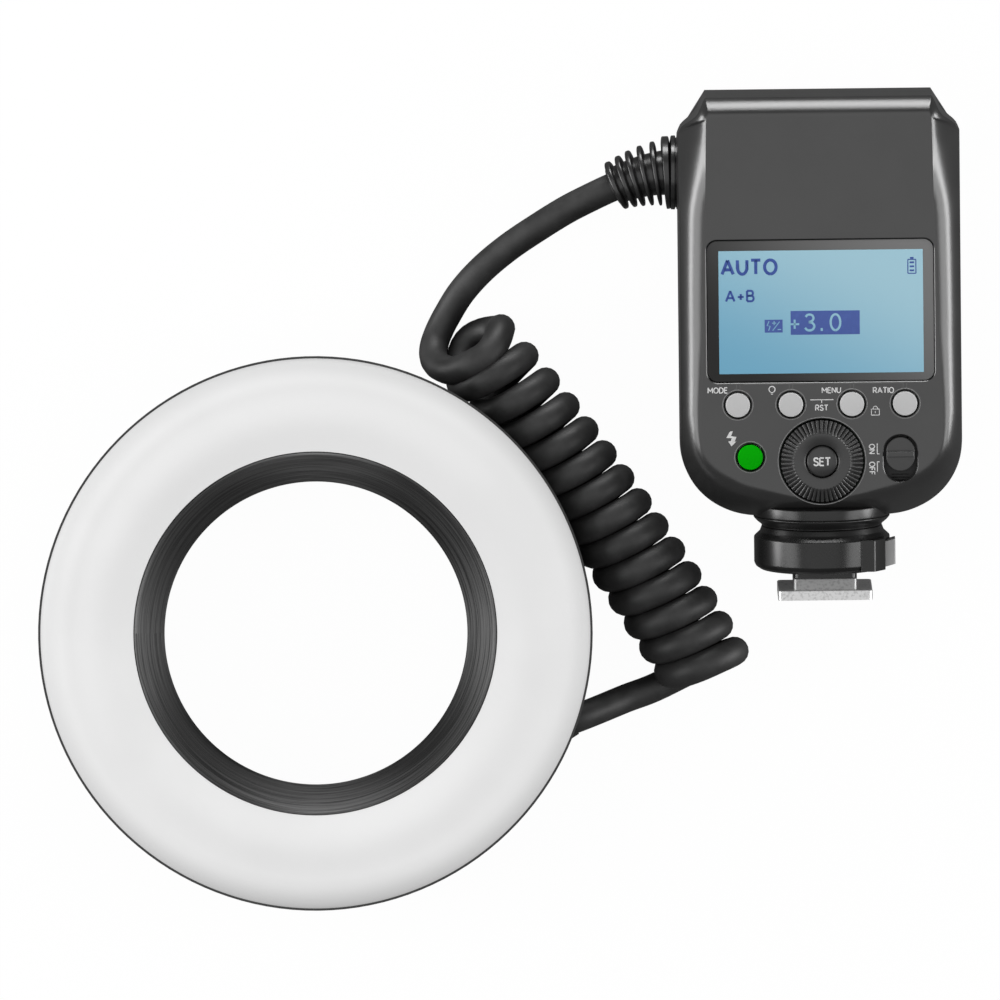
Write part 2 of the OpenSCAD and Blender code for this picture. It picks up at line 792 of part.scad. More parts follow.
module strain_relief_boot() {
    color("#242424") sweep([for (b = boot_profile) boot_point(b[0])], [for (b = boot_profile) b[1]],
        outlet_way, boot_to - boot_bend, 16);
}

// Shoe foot

module foot_flange() {
    color("#3c3c3c") unit_frame() difference() {
        union() {
            axis_bar(collar_r, -seat_gap, -flange_h);
            axis_bar(plug_r, plug_v, -flange_h - 0.4);
        }
        translate([0, 0, foot_w]) foot_holes();
    }
}

module foot_screws() {
    color("#8a8a8c") unit_frame() translate([0, 0, foot_w]) for (a = [45:90:315]) rotate([0, a, 0])
        translate([foot_screw_ring, foot_screw_v, 0]) rotate([90, 0, 0]) {
            cylinder(r = foot_screw_head_r, h = foot_screw_head_h);
            cylinder(r = foot_screw_r, h = foot_screw_v + flange_h * 0.6);
        }
}

module foot_post() {
    color("#4a4a4c") unit_frame() axis_bar(post_r, -flange_h - 0.4, plate_top);
}

module foot_plate() {
    color("#b9babc") unit_frame() difference() {
        union() {
            translate([0, plate_top, foot_w]) rotate([90, 0, 0])
                round_plate([plate_w, plate_d], 1, plate_t);
            translate([0, collar_end - 0.3, foot_w]) rotate([90, 0, 0])
                difference() {
                    round_plate([neck_w, plate_d - 2 * neck_inset], 1.5, neck_h - 0.3);
                    translate([0, 0, -eps]) cylinder(r = post_r + run_gap, h = neck_h);
                }
        }
        axis_bar(lock_r + run_gap, 0, -40, 0, lock_w);
        for (c = contact_spots)
            axis_bar(contact_r + run_gap, plate_top - recess[1], -40, c[0], foot_w + c[1]);
        translate([-recess[0] / 2, plate_top - recess[1], foot_w - recess_w])
            cube([recess[0], recess[1] + eps, recess[2]]);
    }
}

module lock_collar() {
    color("#404040") unit_frame() difference() {
        union() {
            axis_bar(collar_r - 0.5, collar_top, collar_end);
            axis_bar(collar_r, collar_top - 1.6, collar_end + 0.8);
            intersection() {
                translate([collar_r - 6, collar_end + 0.8, foot_w]) cube([5, collar_h - 3, collar_r + 2]);
                axis_bar(collar_r + 1, collar_top, collar_end);
            }
        }
        axis_bar(post_r + run_gap, 0, -40);
        translate([release_u - 0.6, collar_end + 1.2, foot_w - release_size[2] / 2 - 0.3])
            cube([6, release_size[1] + 0.6, release_size[2] + 0.6]);
    }
}

module collar_release() {
    color("#a2a2a2") unit_frame()
        translate([release_u + release_travel - 0.3, collar_end + 1.5, foot_w - release_size[2] / 2])
            cube(release_size);
}

module lock_pin() {
    color("#c4c5c8") unit_frame()
        axis_bar(lock_r, collar_end - 0.5, plate_end + 0.2, 0, lock_w);
}

module contact_pins() {
    color("#d0b050") unit_frame() {
        for (c = contact_spots)
            axis_bar(contact_r, plate_top - 1, plate_end - contact_proud, c[0], foot_w + c[1]);
    }
}

// Ring head

module ring_rear_shell() {
    color("#262626") difference() {
        union() {
            rotate_extrude() polygon([[bore_r, 0], [rear_r - 1.5, 0], [rear_r, 1.5], [rear_r, seat_z],
                [flange_r, seat_z], [flange_r, plate_z], [rear_r - ring_wall, plate_z],
                [rear_r - ring_wall, ring_floor], [bore_r + ring_wall, ring_floor],
                [bore_r + ring_wall, bore_l], [bore_r, bore_l]]);
            for (a = [22.5:45:360]) rotate([0, 0, a])
                translate([rear_r - ring_wall - 1.2, -2, ring_floor])
                    cube([1.4, 4, ring_board_z - ring_floor]);
        }
        for (d = [-1, 1]) {
            z = latch_z + (d > 0 ? latch_step : 0) - 0.25;
            translate([d > 0 ? rear_r - ring_wall - 1.5 : -rear_r - 1, -latch_w / 2 - 0.3, z])
                cube([ring_wall + 2.5, latch_w + 0.6, latch_t + 0.5]);
            translate([d > 0 ? -bore_r - ring_wall - 1 : bore_r - 1, -hook_w / 2 - 0.3, z])
                cube([ring_wall + 2, hook_w + 0.6, latch_t + 0.5]);
        }
        ring_gland_bar(ring_gland_r + eps);
        for (a = ring_screw_angles) rotate([0, 0, a]) translate([ring_screw_path, 0, seat_z - 1])
            cylinder(r = 1.2, h = ring_t + 2);
    }
}

module ring_rim() {
    color("#3a3a3a") difference() {
        rotate_extrude() polygon([[rear_r - ring_wall, plate_z], [flange_r + eps, plate_z],
            [flange_r + eps, seat_z], [ring_r, seat_z], [ring_r, diffuser_z + 0.6],
            [ring_r - rim_lip, diffuser_z + 0.6], [ring_r - rim_lip, diffuser_z],
            [rear_r - ring_wall, diffuser_z]]);
        for (a = ring_screw_angles) rotate([0, 0, a]) translate([ring_screw_path, 0, seat_z])
            cylinder(r = 1, h = 10);
    }
}

// Outer face of the diffuser: rolled over at the rim, crowned, falling to the inner edge
diffuser_in = cone_r + 0.8;
diffuser_out = ring_r - rim_lip - 0.05;
roll = 6;
function crown(lift) = concat(
    [for (a = [0:10:90]) [diffuser_out - roll + (roll - lift) * cos(a),
        diffuser_z + 0.3 + (crown_h - 0.5 - lift) * sin(a)]],
    [for (q = [0.1:0.1:1]) [diffuser_out - roll + (diffuser_in + lift - diffuser_out + roll) * q,
        diffuser_z + crown_h - 0.2 - lift + 0.5 * sin(180 * q) - 0.8 * q * q]]);

module diffuser() {
    face = crown(0);
    back = crown(diffuser_t);
    color("#ebebeb") rotate_extrude() polygon(concat([[diffuser_out, diffuser_z]], face,
        [for (i = [len(back) - 1:-1:0]) back[i]], [[diffuser_out - diffuser_t, diffuser_z]]));
}

module inner_bezel() {
    top = diffuser_z + crown_h - 1;
    color("#4c4c4c") rotate_extrude() polygon([[hole_r, bore_l], [hole_r, bore_l + ring_t], [cone_r, top],
        [cone_r + 0.6, top], [cone_r + 0.6, diffuser_z], [cone_r, diffuser_z - 1],
        [hole_r + ring_t + 0.8, bore_l + ring_t], [bore_r + ring_wall - 0.2, bore_l + ring_t],
        [bore_r + ring_wall - 0.2, bore_l]]);
}

module reflector() {
    color("#d8d8da") rotate_extrude() polygon([[reflector_in, reflector_z], [reflector_out, reflector_z],
        [reflector_out, plate_z - 1], [reflector_out - reflector_t, plate_z - 1],
        [reflector_out - reflector_t, reflector_z + reflector_t],
        [reflector_in + reflector_t, reflector_z + reflector_t],
        [reflector_in + reflector_t, reflector_low], [reflector_in, reflector_low]]);
}

module flash_tube(middle) {
    color("#dfe6ea") rotate([0, 0, middle - tube_span / 2]) rotate_extrude(angle = tube_span)
        translate([tube_path, tube_z]) circle(r = tube_r);
}

module flash_tube_left() { flash_tube(180); }
module flash_tube_right() { flash_tube(0); }

module tube_holders() {
    color("#cfcfca") for (middle = [0, 180], end = [-1, 1]) rotate([0, 0, middle + end * tube_span / 2])
        difference() {
            translate([tube_path - holder_half, end > 0 ? holder_end - holder_l : -holder_end,
                reflector_z + reflector_t]) cube([2 * holder_half, holder_l, holder_h]);
            translate([tube_path, end > 0 ? -holder_l - seat_gap : 0, tube_z]) rotate([-90, 0, 0])
                translate([0, 0, end > 0 ? 0 : -run_gap])
                    cylinder(r = tube_r + holder_gap, h = holder_l + seat_gap + run_gap);
        }
}

module ring_board() {
    color("#1f5a36") translate([0, 0, ring_board_z]) tube(ring_board_out, ring_board_in, ring_board_t);
}

module focus_lamps() {
    color("#f0e9c8") for (a = [90, 270]) rotate([0, 0, a])
        translate([tube_path, 0, reflector_z + reflector_t]) {
            translate([-lamp_w / 2, -lamp_w / 2, 0]) cube([lamp_w, lamp_w, lamp_h]);
            translate([0, 0, lamp_h - 1]) cylinder(r = lamp_lens_r, h = 1 + lamp_lens_h);
        }
}

module ring_screws() {
    color("#8a8a8c") for (a = ring_screw_angles) rotate([0, 0, a]) translate([ring_screw_path, 0, 0]) {
        translate([0, 0, seat_z - 1.3]) cylinder(r = 1.9, h = 1.3);
        translate([0, 0, seat_z - 1.3]) cylinder(r = 0.95, h = 1.3 + 2 * ring_t);
    }
}

module ring_gland_bar(r) {
    translate(ring_gland_face) rotate([0, 0, ring_gland_turn]) rotate([0, -90, 0])
        cylinder(r = r, h = ring_gland_l);
}

module ring_cable_gland() {
    color("#242424") difference() {
        ring_gland_bar(ring_gland_r);
        cylinder(r = rear_r - ring_wall + eps, h = seat_z);
    }
}

// A flat ring with a thumb tab on one side and a hook on the other, which moves out as the tab goes in
module release_latch(side, z) {
    color("#555555") translate([0, 0, z]) {
        tube(latch_out, latch_in, latch_t);
        translate([side > 0 ? latch_out - 0.6 : -rear_r - tab_proud, -latch_w / 2, 0])
            cube([rear_r + tab_proud - latch_out + 0.6, latch_w, latch_t]);
        translate([side > 0 ? -latch_in - 0.6 : hook_tip, -hook_w / 2, 0])
            cube([latch_in + 0.6 - hook_tip, hook_w, latch_t]);
    }
}

module release_latch_left() { release_latch(-1, latch_z); }
module release_latch_right() { release_latch(1, latch_z + latch_step); }

// Cord

module cord_upper_lead() {
    p = concat([boot_to], upper_route, [coil_first]);
    color("#303030") sweep(p, [for (q = p) cord_d / 2], boot_to - boot_bend,
        coil_heading(coil_start), lead_sides);
}

module cord_coil() {
    p = concat([coil_first], coil_middle, [coil_last]);
    echo(least_gap_between_curls = coil_gap());
    color("#303030") sweep(p, [for (q = p) cord_d / 2], coil_heading(coil_start), coil_heading(coil_end),
        coil_sides);
}

module cord_lower_lead() {
    p = concat([coil_last], lower_route, [ring_gland_face]);
    color("#303030") sweep(p, [for (q = p) cord_d / 2], coil_heading(coil_end),
        [-cos(ring_gland_turn), -sin(ring_gland_turn), 0], lead_sides);
}

front_shell();
rear_shell();
lcd_window();
lcd_panel();
lcd_backlight();
main_board();
mode_button();
lamp_button();
menu_button();
ratio_button();
test_button();
set_button();
tact_switches();
dial();
dial_encoder();
power_knob();
slide_switch();
ready_led();
power_board();
flash_capacitor();
transformer();
battery_pack();
battery_contacts();
battery_door();
battery_door_pin();
shell_screws();
cable_gland();
strain_relief_boot();
foot_flange();
foot_screws();
foot_post();
foot_plate();
lock_collar();
collar_release();
lock_pin();
contact_pins();
ring_rear_shell();
ring_rim();
diffuser();
inner_bezel();
reflector();
flash_tube_left();
flash_tube_right();
tube_holders();
ring_board();
focus_lamps();
ring_screws();
ring_cable_gland();
release_latch_left();
release_latch_right();
cord_upper_lead();
cord_coil();
cord_lower_lead();
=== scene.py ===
"""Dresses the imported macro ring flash: shapes, finishes, studio and camera.

Sizes are in millimetres in the object's own frame and become metres in the meshes.
"""
from __future__ import annotations

import json
import logging
import math
from dataclasses import dataclass, field
from enum import Enum
from typing import Sequence

import bpy
import numpy as np
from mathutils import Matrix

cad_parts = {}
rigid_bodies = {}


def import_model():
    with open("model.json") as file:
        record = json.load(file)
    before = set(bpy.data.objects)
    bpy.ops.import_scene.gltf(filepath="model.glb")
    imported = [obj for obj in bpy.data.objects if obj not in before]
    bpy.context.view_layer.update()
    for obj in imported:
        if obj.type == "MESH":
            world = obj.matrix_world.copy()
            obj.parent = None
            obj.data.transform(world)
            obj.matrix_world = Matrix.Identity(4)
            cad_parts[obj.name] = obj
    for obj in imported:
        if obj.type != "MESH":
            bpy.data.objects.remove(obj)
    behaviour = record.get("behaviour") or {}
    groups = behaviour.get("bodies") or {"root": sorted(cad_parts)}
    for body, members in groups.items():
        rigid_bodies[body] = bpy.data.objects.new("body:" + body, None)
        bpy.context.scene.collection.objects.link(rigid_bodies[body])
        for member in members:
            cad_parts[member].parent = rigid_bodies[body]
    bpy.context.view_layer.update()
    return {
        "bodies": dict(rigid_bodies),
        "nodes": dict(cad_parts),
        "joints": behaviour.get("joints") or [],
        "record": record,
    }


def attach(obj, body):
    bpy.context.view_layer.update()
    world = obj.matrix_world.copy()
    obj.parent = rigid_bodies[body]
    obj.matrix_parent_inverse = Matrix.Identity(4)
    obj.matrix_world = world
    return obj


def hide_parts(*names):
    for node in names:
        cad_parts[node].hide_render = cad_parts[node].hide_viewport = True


LOG = logging.getLogger("ring_flash")
MM = 0.001
Array = np.ndarray
Pair = tuple[float, float]
Triple = tuple[float, float, float]


class Body(Enum):
    """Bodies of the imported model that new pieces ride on."""

    ROOT = "root"
    COLLAR = "lock_collar"
    RELEASE = "collar_release"
    DIAL = "dial"
    SET = "set_button"
    KNOB = "power_knob"
    MODE = "mode_button"
    LAMP = "lamp_button"
    MENU = "menu_button"
    RATIO = "ratio_button"
    TEST = "test_button"


class Turning(Enum):
    """Which way round a grid of points is walked, so that its faces point outwards."""

    AS_IS = 1
    FLIPPED = -1


# Frames


@dataclass(frozen=True)
class Place:
    """A frame: where it is and which way its three axes point, in millimetres."""

    origin: Triple
    axes: tuple[Triple, ...]

    def put(self, local: Array) -> Array:
        """Turns local points into points of the object's frame."""
        return np.asarray(local, float) @ np.array(self.axes) + np.array(self.origin)


def unit_place(x: float, y: float, z: float, turn: float, lean: float) -> Place:
    """Frame of the control unit: u to its right, v up its axis, w out of its face.

    Args:
        x, y, z: lower end of the front face on the unit's axis.
        turn: turn on the table, in degrees.
        lean: lean of the face from level, in degrees.
    Returns:
        The frame.
    """
    ct, st = math.cos(math.radians(turn)), math.sin(math.radians(turn))
    cl, sl = math.cos(math.radians(lean)), math.sin(math.radians(lean))
    return Place((x, y, z), ((ct, st, 0), (-st * cl, ct * cl, sl), (st * sl, -ct * sl, cl)))


TABLE = Place((0, 0, 0), ((1, 0, 0), (0, 1, 0), (0, 0, 1)))
UNIT = unit_place(101.4, 22.5, 30.0, 0.65, 7.0)


def spot(u: float, v: float, w: float = 0.0) -> Place:
    """The unit's frame moved to a place on its face."""
    return Place(tuple(UNIT.put(np.array([u, v, w]))), UNIT.axes)


def foot_place(depth: float) -> Place:
    """Frame of the foot, at a depth under the face: its z runs up the unit's axis."""
    right, up, out = UNIT.axes
    return Place(spot(0, 0, depth).origin, (out, right, up))


# Meshes


def unit(vectors: Array) -> Array:
    """The same directions with a length of one."""
    return vectors / np.linalg.norm(vectors, axis=1)[:, None]


def gaps(line: Array) -> Array:
    """Distances between the neighbouring points of a line."""
    return np.linalg.norm(np.diff(line, axis=0), axis=1)


def ease(x: Array, low: float, high: float) -> Array:
    """Nought below low, one above high and a smooth rise between them."""
    t = np.clip((x - low) / (high - low), 0, 1)
    return t * t * (3 - 2 * t)


def ellipse(angles: Array, middle: Pair, wide: float, tall: float) -> Array:
    """Points at some angles round a middle, wide to the side and tall upwards."""
    return np.stack([middle[0] + wide * np.cos(angles), middle[1] + tall * np.sin(angles)], -1)


def linked(name: str, data: bpy.types.ID) -> bpy.types.Object:
    """Makes an object of the scene, at the origin.

    Args:
        name: its name.
        data: its mesh, curve, light or camera.
    Returns:
        The object.
    """
    made = bpy.data.objects.new(name, data)
    bpy.context.scene.collection.objects.link(made)
    return made


def soften(mesh: bpy.types.Mesh, sharp: float) -> None:
    """Shades a mesh smoothly, apart from edges that bend more than sharp degrees."""
    mesh.shade_smooth()
    mesh.set_sharp_from_angle(angle=math.radians(sharp))


@dataclass
class Patchwork:
    """Collects grids and caps of points, then makes one mesh object of them."""

    points: list[Array] = field(default_factory=list)
    faces: list[list[int]] = field(default_factory=list)
    count: int = 0

    def add_points(self, points: Array) -> int:
        """Adds points.

        Args:
            points: array whose last side is three coordinates.
        Returns:
            The number of the first.
        """
        flat = np.asarray(points, float).reshape(-1, 3)
        first = self.count
        self.points.append(flat)
        self.count += len(flat)
        return first

    def grid(self, points: Array, wrap_rows: bool = False, wrap_cols: bool = False,
             turning: Turning = Turning.AS_IS) -> int:
        """Adds a grid of points with a quad between each four neighbours.

        Args:
            points: array of rows, columns and three coordinates.
            wrap_rows: joins the last row to the first.
            wrap_cols: joins the last column to the first.
            turning: which way round the quads are walked.
        Returns:
            The number of the grid's first point.
        """
        rows, cols = points.shape[:2]
        first = self.add_points(points)
        number = np.arange(rows * cols).reshape(rows, cols) + first
        if wrap_rows:
            number = np.vstack([number, number[:1]])
        if wrap_cols:
            number = np.hstack([number, number[:, :1]])
        quads = np.stack([number[:-1, :-1], number[:-1, 1:], number[1:, 1:], number[1:, :-1]], -1)
        quads = quads.reshape(-1, 4)
        if turning is Turning.FLIPPED:
            quads = quads[:, ::-1]
        self.faces.extend(quads.tolist())
        return first

    def tube(self, points: Array, turning: Turning = Turning.AS_IS) -> Patchwork:
        """Adds a grid whose rows are loops, and closes both ends with a flat face.

        Args:
            points: array of rows, columns and three coordinates.
            turning: which way round the quads are walked.
        Returns:
            This patchwork.
        """
        rows, cols = points.shape[:2]
        first = self.grid(points, wrap_cols=True, turning=turning)
        for row, way in ((0, -turning.value), (rows - 1, turning.value)):
            ring = list(range(first + row * cols, first + (row + 1) * cols))
            self.faces.append(ring[::way])
        return self

    def join(self, other: Patchwork, shift: Triple = (0, 0, 0)) -> None:
        """Adds another patchwork, moved by shift."""
        first = self.add_points(np.concatenate(other.points) + np.array(shift))
        self.faces.extend([[i + first for i in face] for face in other.faces])

    def piece(self, name: str, place: Place = TABLE, smooth: float = 35.0) -> bpy.types.Object:
        """Makes the mesh object, in metres.

        Args:
            name: the piece's name.
            place: the frame that the points are in.
            smooth: edges that bend more than this many degrees stay sharp.
        Returns:
            The object, at the origin.
        """
        mesh = bpy.data.meshes.new(name)
        points = place.put(np.concatenate(self.points)) * MM
        mesh.from_pydata(points.tolist(), [], self.faces)
        mesh.validate()
        soften(mesh, smooth)
        return linked(name, mesh)


def turned(profile: Array, steps: int, closed: bool) -> Patchwork:
    """A surface of revolution: each profile point (r, z) goes round the z axis in equal steps.

    The profile runs so that the solid is on its left. An open profile starts and ends on the axis
    or is closed there by a flat face.

    Args:
        profile: points (r, z).
        steps: steps round the axis.
        closed: the profile's last point joins its first.
    Returns:
        The patchwork.
    """
    angle = np.arange(steps) * (2 * np.pi / steps)
    r, z = np.asarray(profile, float).T
    grid = np.stack([r[:, None] * np.cos(angle), r[:, None] * np.sin(angle),
                     np.broadcast_to(z[:, None], (len(z), steps))], -1)
    if not closed:
        return Patchwork().tube(grid)
    made = Patchwork()
    made.grid(grid, wrap_rows=True, wrap_cols=True)
    return made


def bore(radius: float, low: float, high: float, steps: int) -> Patchwork:
    """A plain round plug, to cut a hole with."""
    return turned(np.array([(0.01, low), (radius, low), (radius, high), (0.01, high)]), steps, False)


def rounded(profile: Sequence[Pair], radius: float, steps: int = 5,
            closed: bool = True) -> Array:
    """Rounds each corner of a profile: the corner becomes a quadratic curve that starts and ends
    radius away from it, or at half of its shorter side.

    Args:
        profile: corner points.
        radius: how far from a corner its curve starts.
        steps: points on each curve.
        closed: the profile is a loop.
    Returns:
        The points.
    """
    p = np.asarray(profile, float)
    t = np.linspace(0, 1, steps)[:, None]
    made = []
    for i, corner in enumerate(p):
        if not closed and i in (0, len(p) - 1):
            made.append(corner[None])
            continue
        back, on = p[i - 1] - corner, p[(i + 1) % len(p)] - corner
        reach = min(radius, 0.49 * np.linalg.norm(back), 0.49 * np.linalg.norm(on))
        a = corner + back / np.linalg.norm(back) * reach
        b = corner + on / np.linalg.norm(on) * reach
        made.append((1 - t) ** 2 * a + 2 * t * (1 - t) * corner + t ** 2 * b)
    return np.concatenate(made)


def smooth_line(points: Sequence[Sequence[float]], per_span: int) -> Array:
    """A Catmull-Rom curve: on each span a cubic whose slopes follow the neighbouring points.

    Args:
        points: what the curve goes through.
        per_span: steps between each two of them.
    Returns:
        Points of the curve.
    """
    p = np.asarray(points, float)
    p = np.vstack([2 * p[0] - p[1], p, 2 * p[-1] - p[-2]])
    t = (np.arange(per_span) / per_span)[:, None]
    spans = [0.5 * (2 * b + (c - a) * t + (2 * a - 5 * b + 4 * c - d) * t ** 2
                    + (3 * b - a - 3 * c + d) * t ** 3)
             for a, b, c, d in zip(p[:-3], p[1:-2], p[2:-1], p[3:])]
    return np.concatenate(spans + [p[-2:-1]])


def swept(line: Array, radii: Array, sides: int) -> Patchwork:
    """A round tube along a line: a circle of each point's radius, square to the line there.

    Args:
        line: points in space.
        radii: a radius for each point.
        sides: points round the circle.
    Returns:
        The patchwork, closed at both ends.
    """
    along = unit(np.gradient(line, axis=0))
    side = unit(np.cross(along, np.array([0.05, 0.1, 1.0])))
    up = np.cross(side, along)
    angle = np.arange(sides) * (2 * np.pi / sides)
    ring = side[:, None] * np.cos(angle)[None, :, None] + up[:, None] * np.sin(angle)[None, :, None]
    return Patchwork().tube(line[:, None] + radii[:, None, None] * ring, Turning.FLIPPED)


def stacked(outline: Array, levels: Array, grows: Array) -> Patchwork:
    """Copies of a flat outline, walked to the left, one over another and closed at both ends.

    Args:
        outline: points (x, y).
        levels: height of each copy.
        grows: how far each copy is moved outwards.
    Returns:
        The patchwork.
    """
    ways = np.roll(outline, -1, 0) - np.roll(outline, 1, 0)
    normals = unit(np.stack([ways[:, 1], -ways[:, 0]], -1))
    flat = outline[None] + grows[:, None, None] * normals[None]
    tall = np.broadcast_to(levels[:, None, None], flat.shape[:2] + (1,))
    return Patchwork().tube(np.concatenate([flat, tall], -1))


def block(outline: Array, low: float, high: float, edge: float) -> Patchwork:
    """A plate: a flat outline, walked to the left, carried from low to high and drawn in by a
    quarter circle of size edge at its upper rim.

    Args:
        outline: points (x, y).
        low: height of the underside.
        high: height of the upper face.
        edge: radius of the rounded rim.
    Returns:
        The patchwork.
    """
    a = np.linspace(0, np.pi / 2, 6)
    levels = np.concatenate([[low], high - edge + edge * np.sin(a)])
    return stacked(outline, levels, np.concatenate([[0], edge * (np.cos(a) - 1)]))


def round_box(width: float, height: float, radius: float, middle: Pair = (0, 0),
              steps: int = 8) -> Array:
    """Outline of a rectangle whose corners are quarter circles, walked to the left.

    Args:
        width, height: its sides.
        radius: of its corners.
        middle: where its middle is.
        steps: points on each corner.
    Returns:
        Points (x, y).
    """
    a = np.linspace(0, np.pi / 2, steps)
    corners = [(1, 1, 0), (-1, 1, 1), (-1, -1, 2), (1, -1, 3)]
    parts = [ellipse(a + k * np.pi / 2, (sx * (width / 2 - radius), sy * (height / 2 - radius)),
                     radius, radius) for sx, sy, k in corners]
    return np.concatenate(parts) + np.array(middle)


def circle(radius: float, middle: Pair = (0, 0), steps: int = 48) -> Array:
    """Outline of a circle, walked to the left."""
    return ellipse(np.arange(steps) * (2 * np.pi / steps), middle, radius, radius)


def cut(piece: bpy.types.Object, cutters: Sequence[bpy.types.Object], smooth: float) -> None:
    """Takes solids out of a piece.

    Args:
        piece: the object, whose mesh is made anew.
        cutters: the solids, which are deleted.
        smooth: edges that bend more than this many degrees stay sharp.
    """
    for cutter in cutters:
        way = piece.modifiers.new("opening", "BOOLEAN")
        way.operation = "DIFFERENCE"
        way.solver = "EXACT"
        way.object = cutter
    bpy.context.view_layer.update()
    seen = piece.evaluated_get(bpy.context.evaluated_depsgraph_get())
    mesh = bpy.data.meshes.new_from_object(seen)
    piece.modifiers.clear()
    old, piece.data = piece.data, mesh
    bpy.data.meshes.remove(old)
    mesh.name = piece.name
    soften(mesh, smooth)
    for cutter in cutters:
        gone = cutter.data
        bpy.data.objects.remove(cutter)
        bpy.data.meshes.remove(gone)


# Shading


class Term:
    """A socket that can be used in an expression; each operator adds a Math node."""

    def __init__(self, shading: Shading, socket: bpy.types.NodeSocket) -> None:
        """Wraps a socket of the shading's tree."""
        self.shading = shading
        self.socket = socket

    def beside(self, name: str | int) -> Term:
        """Another output of the same node."""
        return Term(self.shading, self.socket.node.outputs[name])

    def math(self, operation: str, *others: Term | float) -> Term:
        """Adds a Math node with this term as its first value."""
        return self.shading.node("ShaderNodeMath", {"operation": operation},
                                 dict(enumerate((self, *others))))

    def __add__(self, other: Term | float) -> Term:
        """Sum."""
        return self.math("ADD", other)

    __radd__ = __add__

    def __sub__(self, other: Term | float) -> Term:
        """Difference."""
        return self.math("SUBTRACT", other)

    def __rsub__(self, other: float) -> Term:
        """Difference from a number."""
        return self * -1.0 + other

    def __mul__(self, other: Term | float) -> Term:
        """Product."""
        return self.math("MULTIPLY", other)

    __rmul__ = __mul__

    def __pow__(self, other: Term | float) -> Term:
        """Power."""
        return self.math("POWER", other)

    def __abs__(self) -> Term:
        """Distance from nought."""
        return self.math("ABSOLUTE")

    def sine(self) -> Term:
        """Sine."""
        return self.math("SINE")

    def between(self, low: float, high: float) -> Term:
        """Nought below low, one above high and a smooth rise between them."""
        return self.shading.node("ShaderNodeMapRange", {"interpolation_type": "SMOOTHSTEP"},
                                 {"Value": self, "From Min": low, "From Max": high})


class Shading:
    """A material's node tree, with one method that makes any node."""

    def __init__(self, name: str) -> None:
        """Makes a material with a Principled shader."""
        self.material = bpy.data.materials.new(name)
        self.material.use_nodes = True
        self.tree = self.material.node_tree
        self.shader = self.tree.nodes["Principled BSDF"]
        self.place = self.node("ShaderNodeTexCoord", {}, {}, "Object")

    def node(self, kind: str, settings: dict, inputs: dict, out: str | int = 0) -> Term:
        """Makes a node.

        Args:
            kind: the node's type.
            settings: its own properties, which are set first.
            inputs: sockets by name or number, each with a value or a term.
            out: the output that is wanted, by name or number.
        Returns:
            The output.
        """
        made = self.tree.nodes.new(kind)
        for name, value in settings.items():
            setattr(made, name, value)
        for name, value in inputs.items():
            self.feed(made.inputs[name], value)
        return Term(self, made.outputs[out])

    def feed(self, socket: bpy.types.NodeSocket, value: object) -> None:
        """Gives a socket a value or a link.

        Args:
            socket: the input.
            value: a number, a colour of three parts, a vector or a term.
        """
        if isinstance(value, Term):
            self.tree.links.new(value.socket, socket)
        else:
            socket.default_value = (*value, 1.0) if socket.type == "RGBA" else value

    def noise(self, scale: float, detail: float, where: Term | None = None) -> Term:
        """Noise on Object coordinates or others, with scale in features for each metre."""
        return self.node("ShaderNodeTexNoise", {}, {"Vector": where or self.place, "Scale": scale,
                                                    "Detail": detail}, "Fac")

    def axes(self) -> tuple[Term, Term, Term]:
        """The three Object coordinates, in metres."""
        x = self.node("ShaderNodeSeparateXYZ", {}, {0: self.place})
        return x, x.beside(1), x.beside(2)

    def face(self) -> list[Term]:
        """How far a point lies to the right of the unit's axis and up it, in millimetres."""
        x, y, z = self.axes()
        return [(x * a + y * b + z * c) * (1 / MM) - float(np.dot(UNIT.origin, (a, b, c)))
                for a, b, c in UNIT.axes[:2]]

    def blend(self, share: Term, low: object, high: object) -> Term:
        """A colour between two, by a share from nought to one."""
        return self.node("ShaderNodeMix", {"data_type": "RGBA"}, {0: share, 6: low, 7: high}, 2)

    def bump(self, height: Term, strength: float, depth: float) -> None:
        """Feeds a height to the shader's normal, with depth in millimetres."""
        self.set(Normal=self.node("ShaderNodeBump", {}, {
            "Strength": strength, "Distance": depth * MM, "Height": height}))

    def set(self, **inputs: object) -> bpy.types.Material:
        """Feeds the shader's sockets.

        Args:
            inputs: values by the socket's name, with _ for a space.
        Returns:
            The material.
        """
        for name, value in inputs.items():
            self.feed(self.shader.inputs[name.replace("_", " ")], value)
        return self.material


def grey(level: float) -> Triple:
    """A linear grey from an sRGB level of 0 to 255."""
    v = level / 255
    return (v / 12.92 if v <= 0.04045 else ((v + 0.055) / 1.055) ** 2.4,) * 3


def tone(*levels: float) -> tuple[float, ...]:
    """A linear colour from its three sRGB levels of 0 to 255."""
    return tuple(grey(level)[0] for level in levels)


@dataclass(frozen=True)
class MouldedPlastic:
    """Satin moulded plastic: a fine spark-eroded grain, a slow mottle and worn-in gloss."""

    name: str
    dark: Triple
    light: Triple
    rough: Pair = (0.38, 0.5)
    grain: float = 2600.0
    shine: float = 0.5

    def make(self) -> bpy.types.Material:
        """Colour and gloss follow a mottle, the normal follows the grain.

        Returns:
            The material.
        """
        s = Shading(self.name)
        mottle = s.noise(90, 3)
        fine = s.noise(self.grain, 2)
        s.bump(fine, 0.35, 0.02)
        low, high = self.rough
        return s.set(Base_Color=s.blend(mottle.between(0.3, 0.7), self.dark, self.light),
                     Roughness=(mottle * 0.6 + fine * 0.4) * (high - low) + low,
                     Specular_IOR_Level=self.shine)


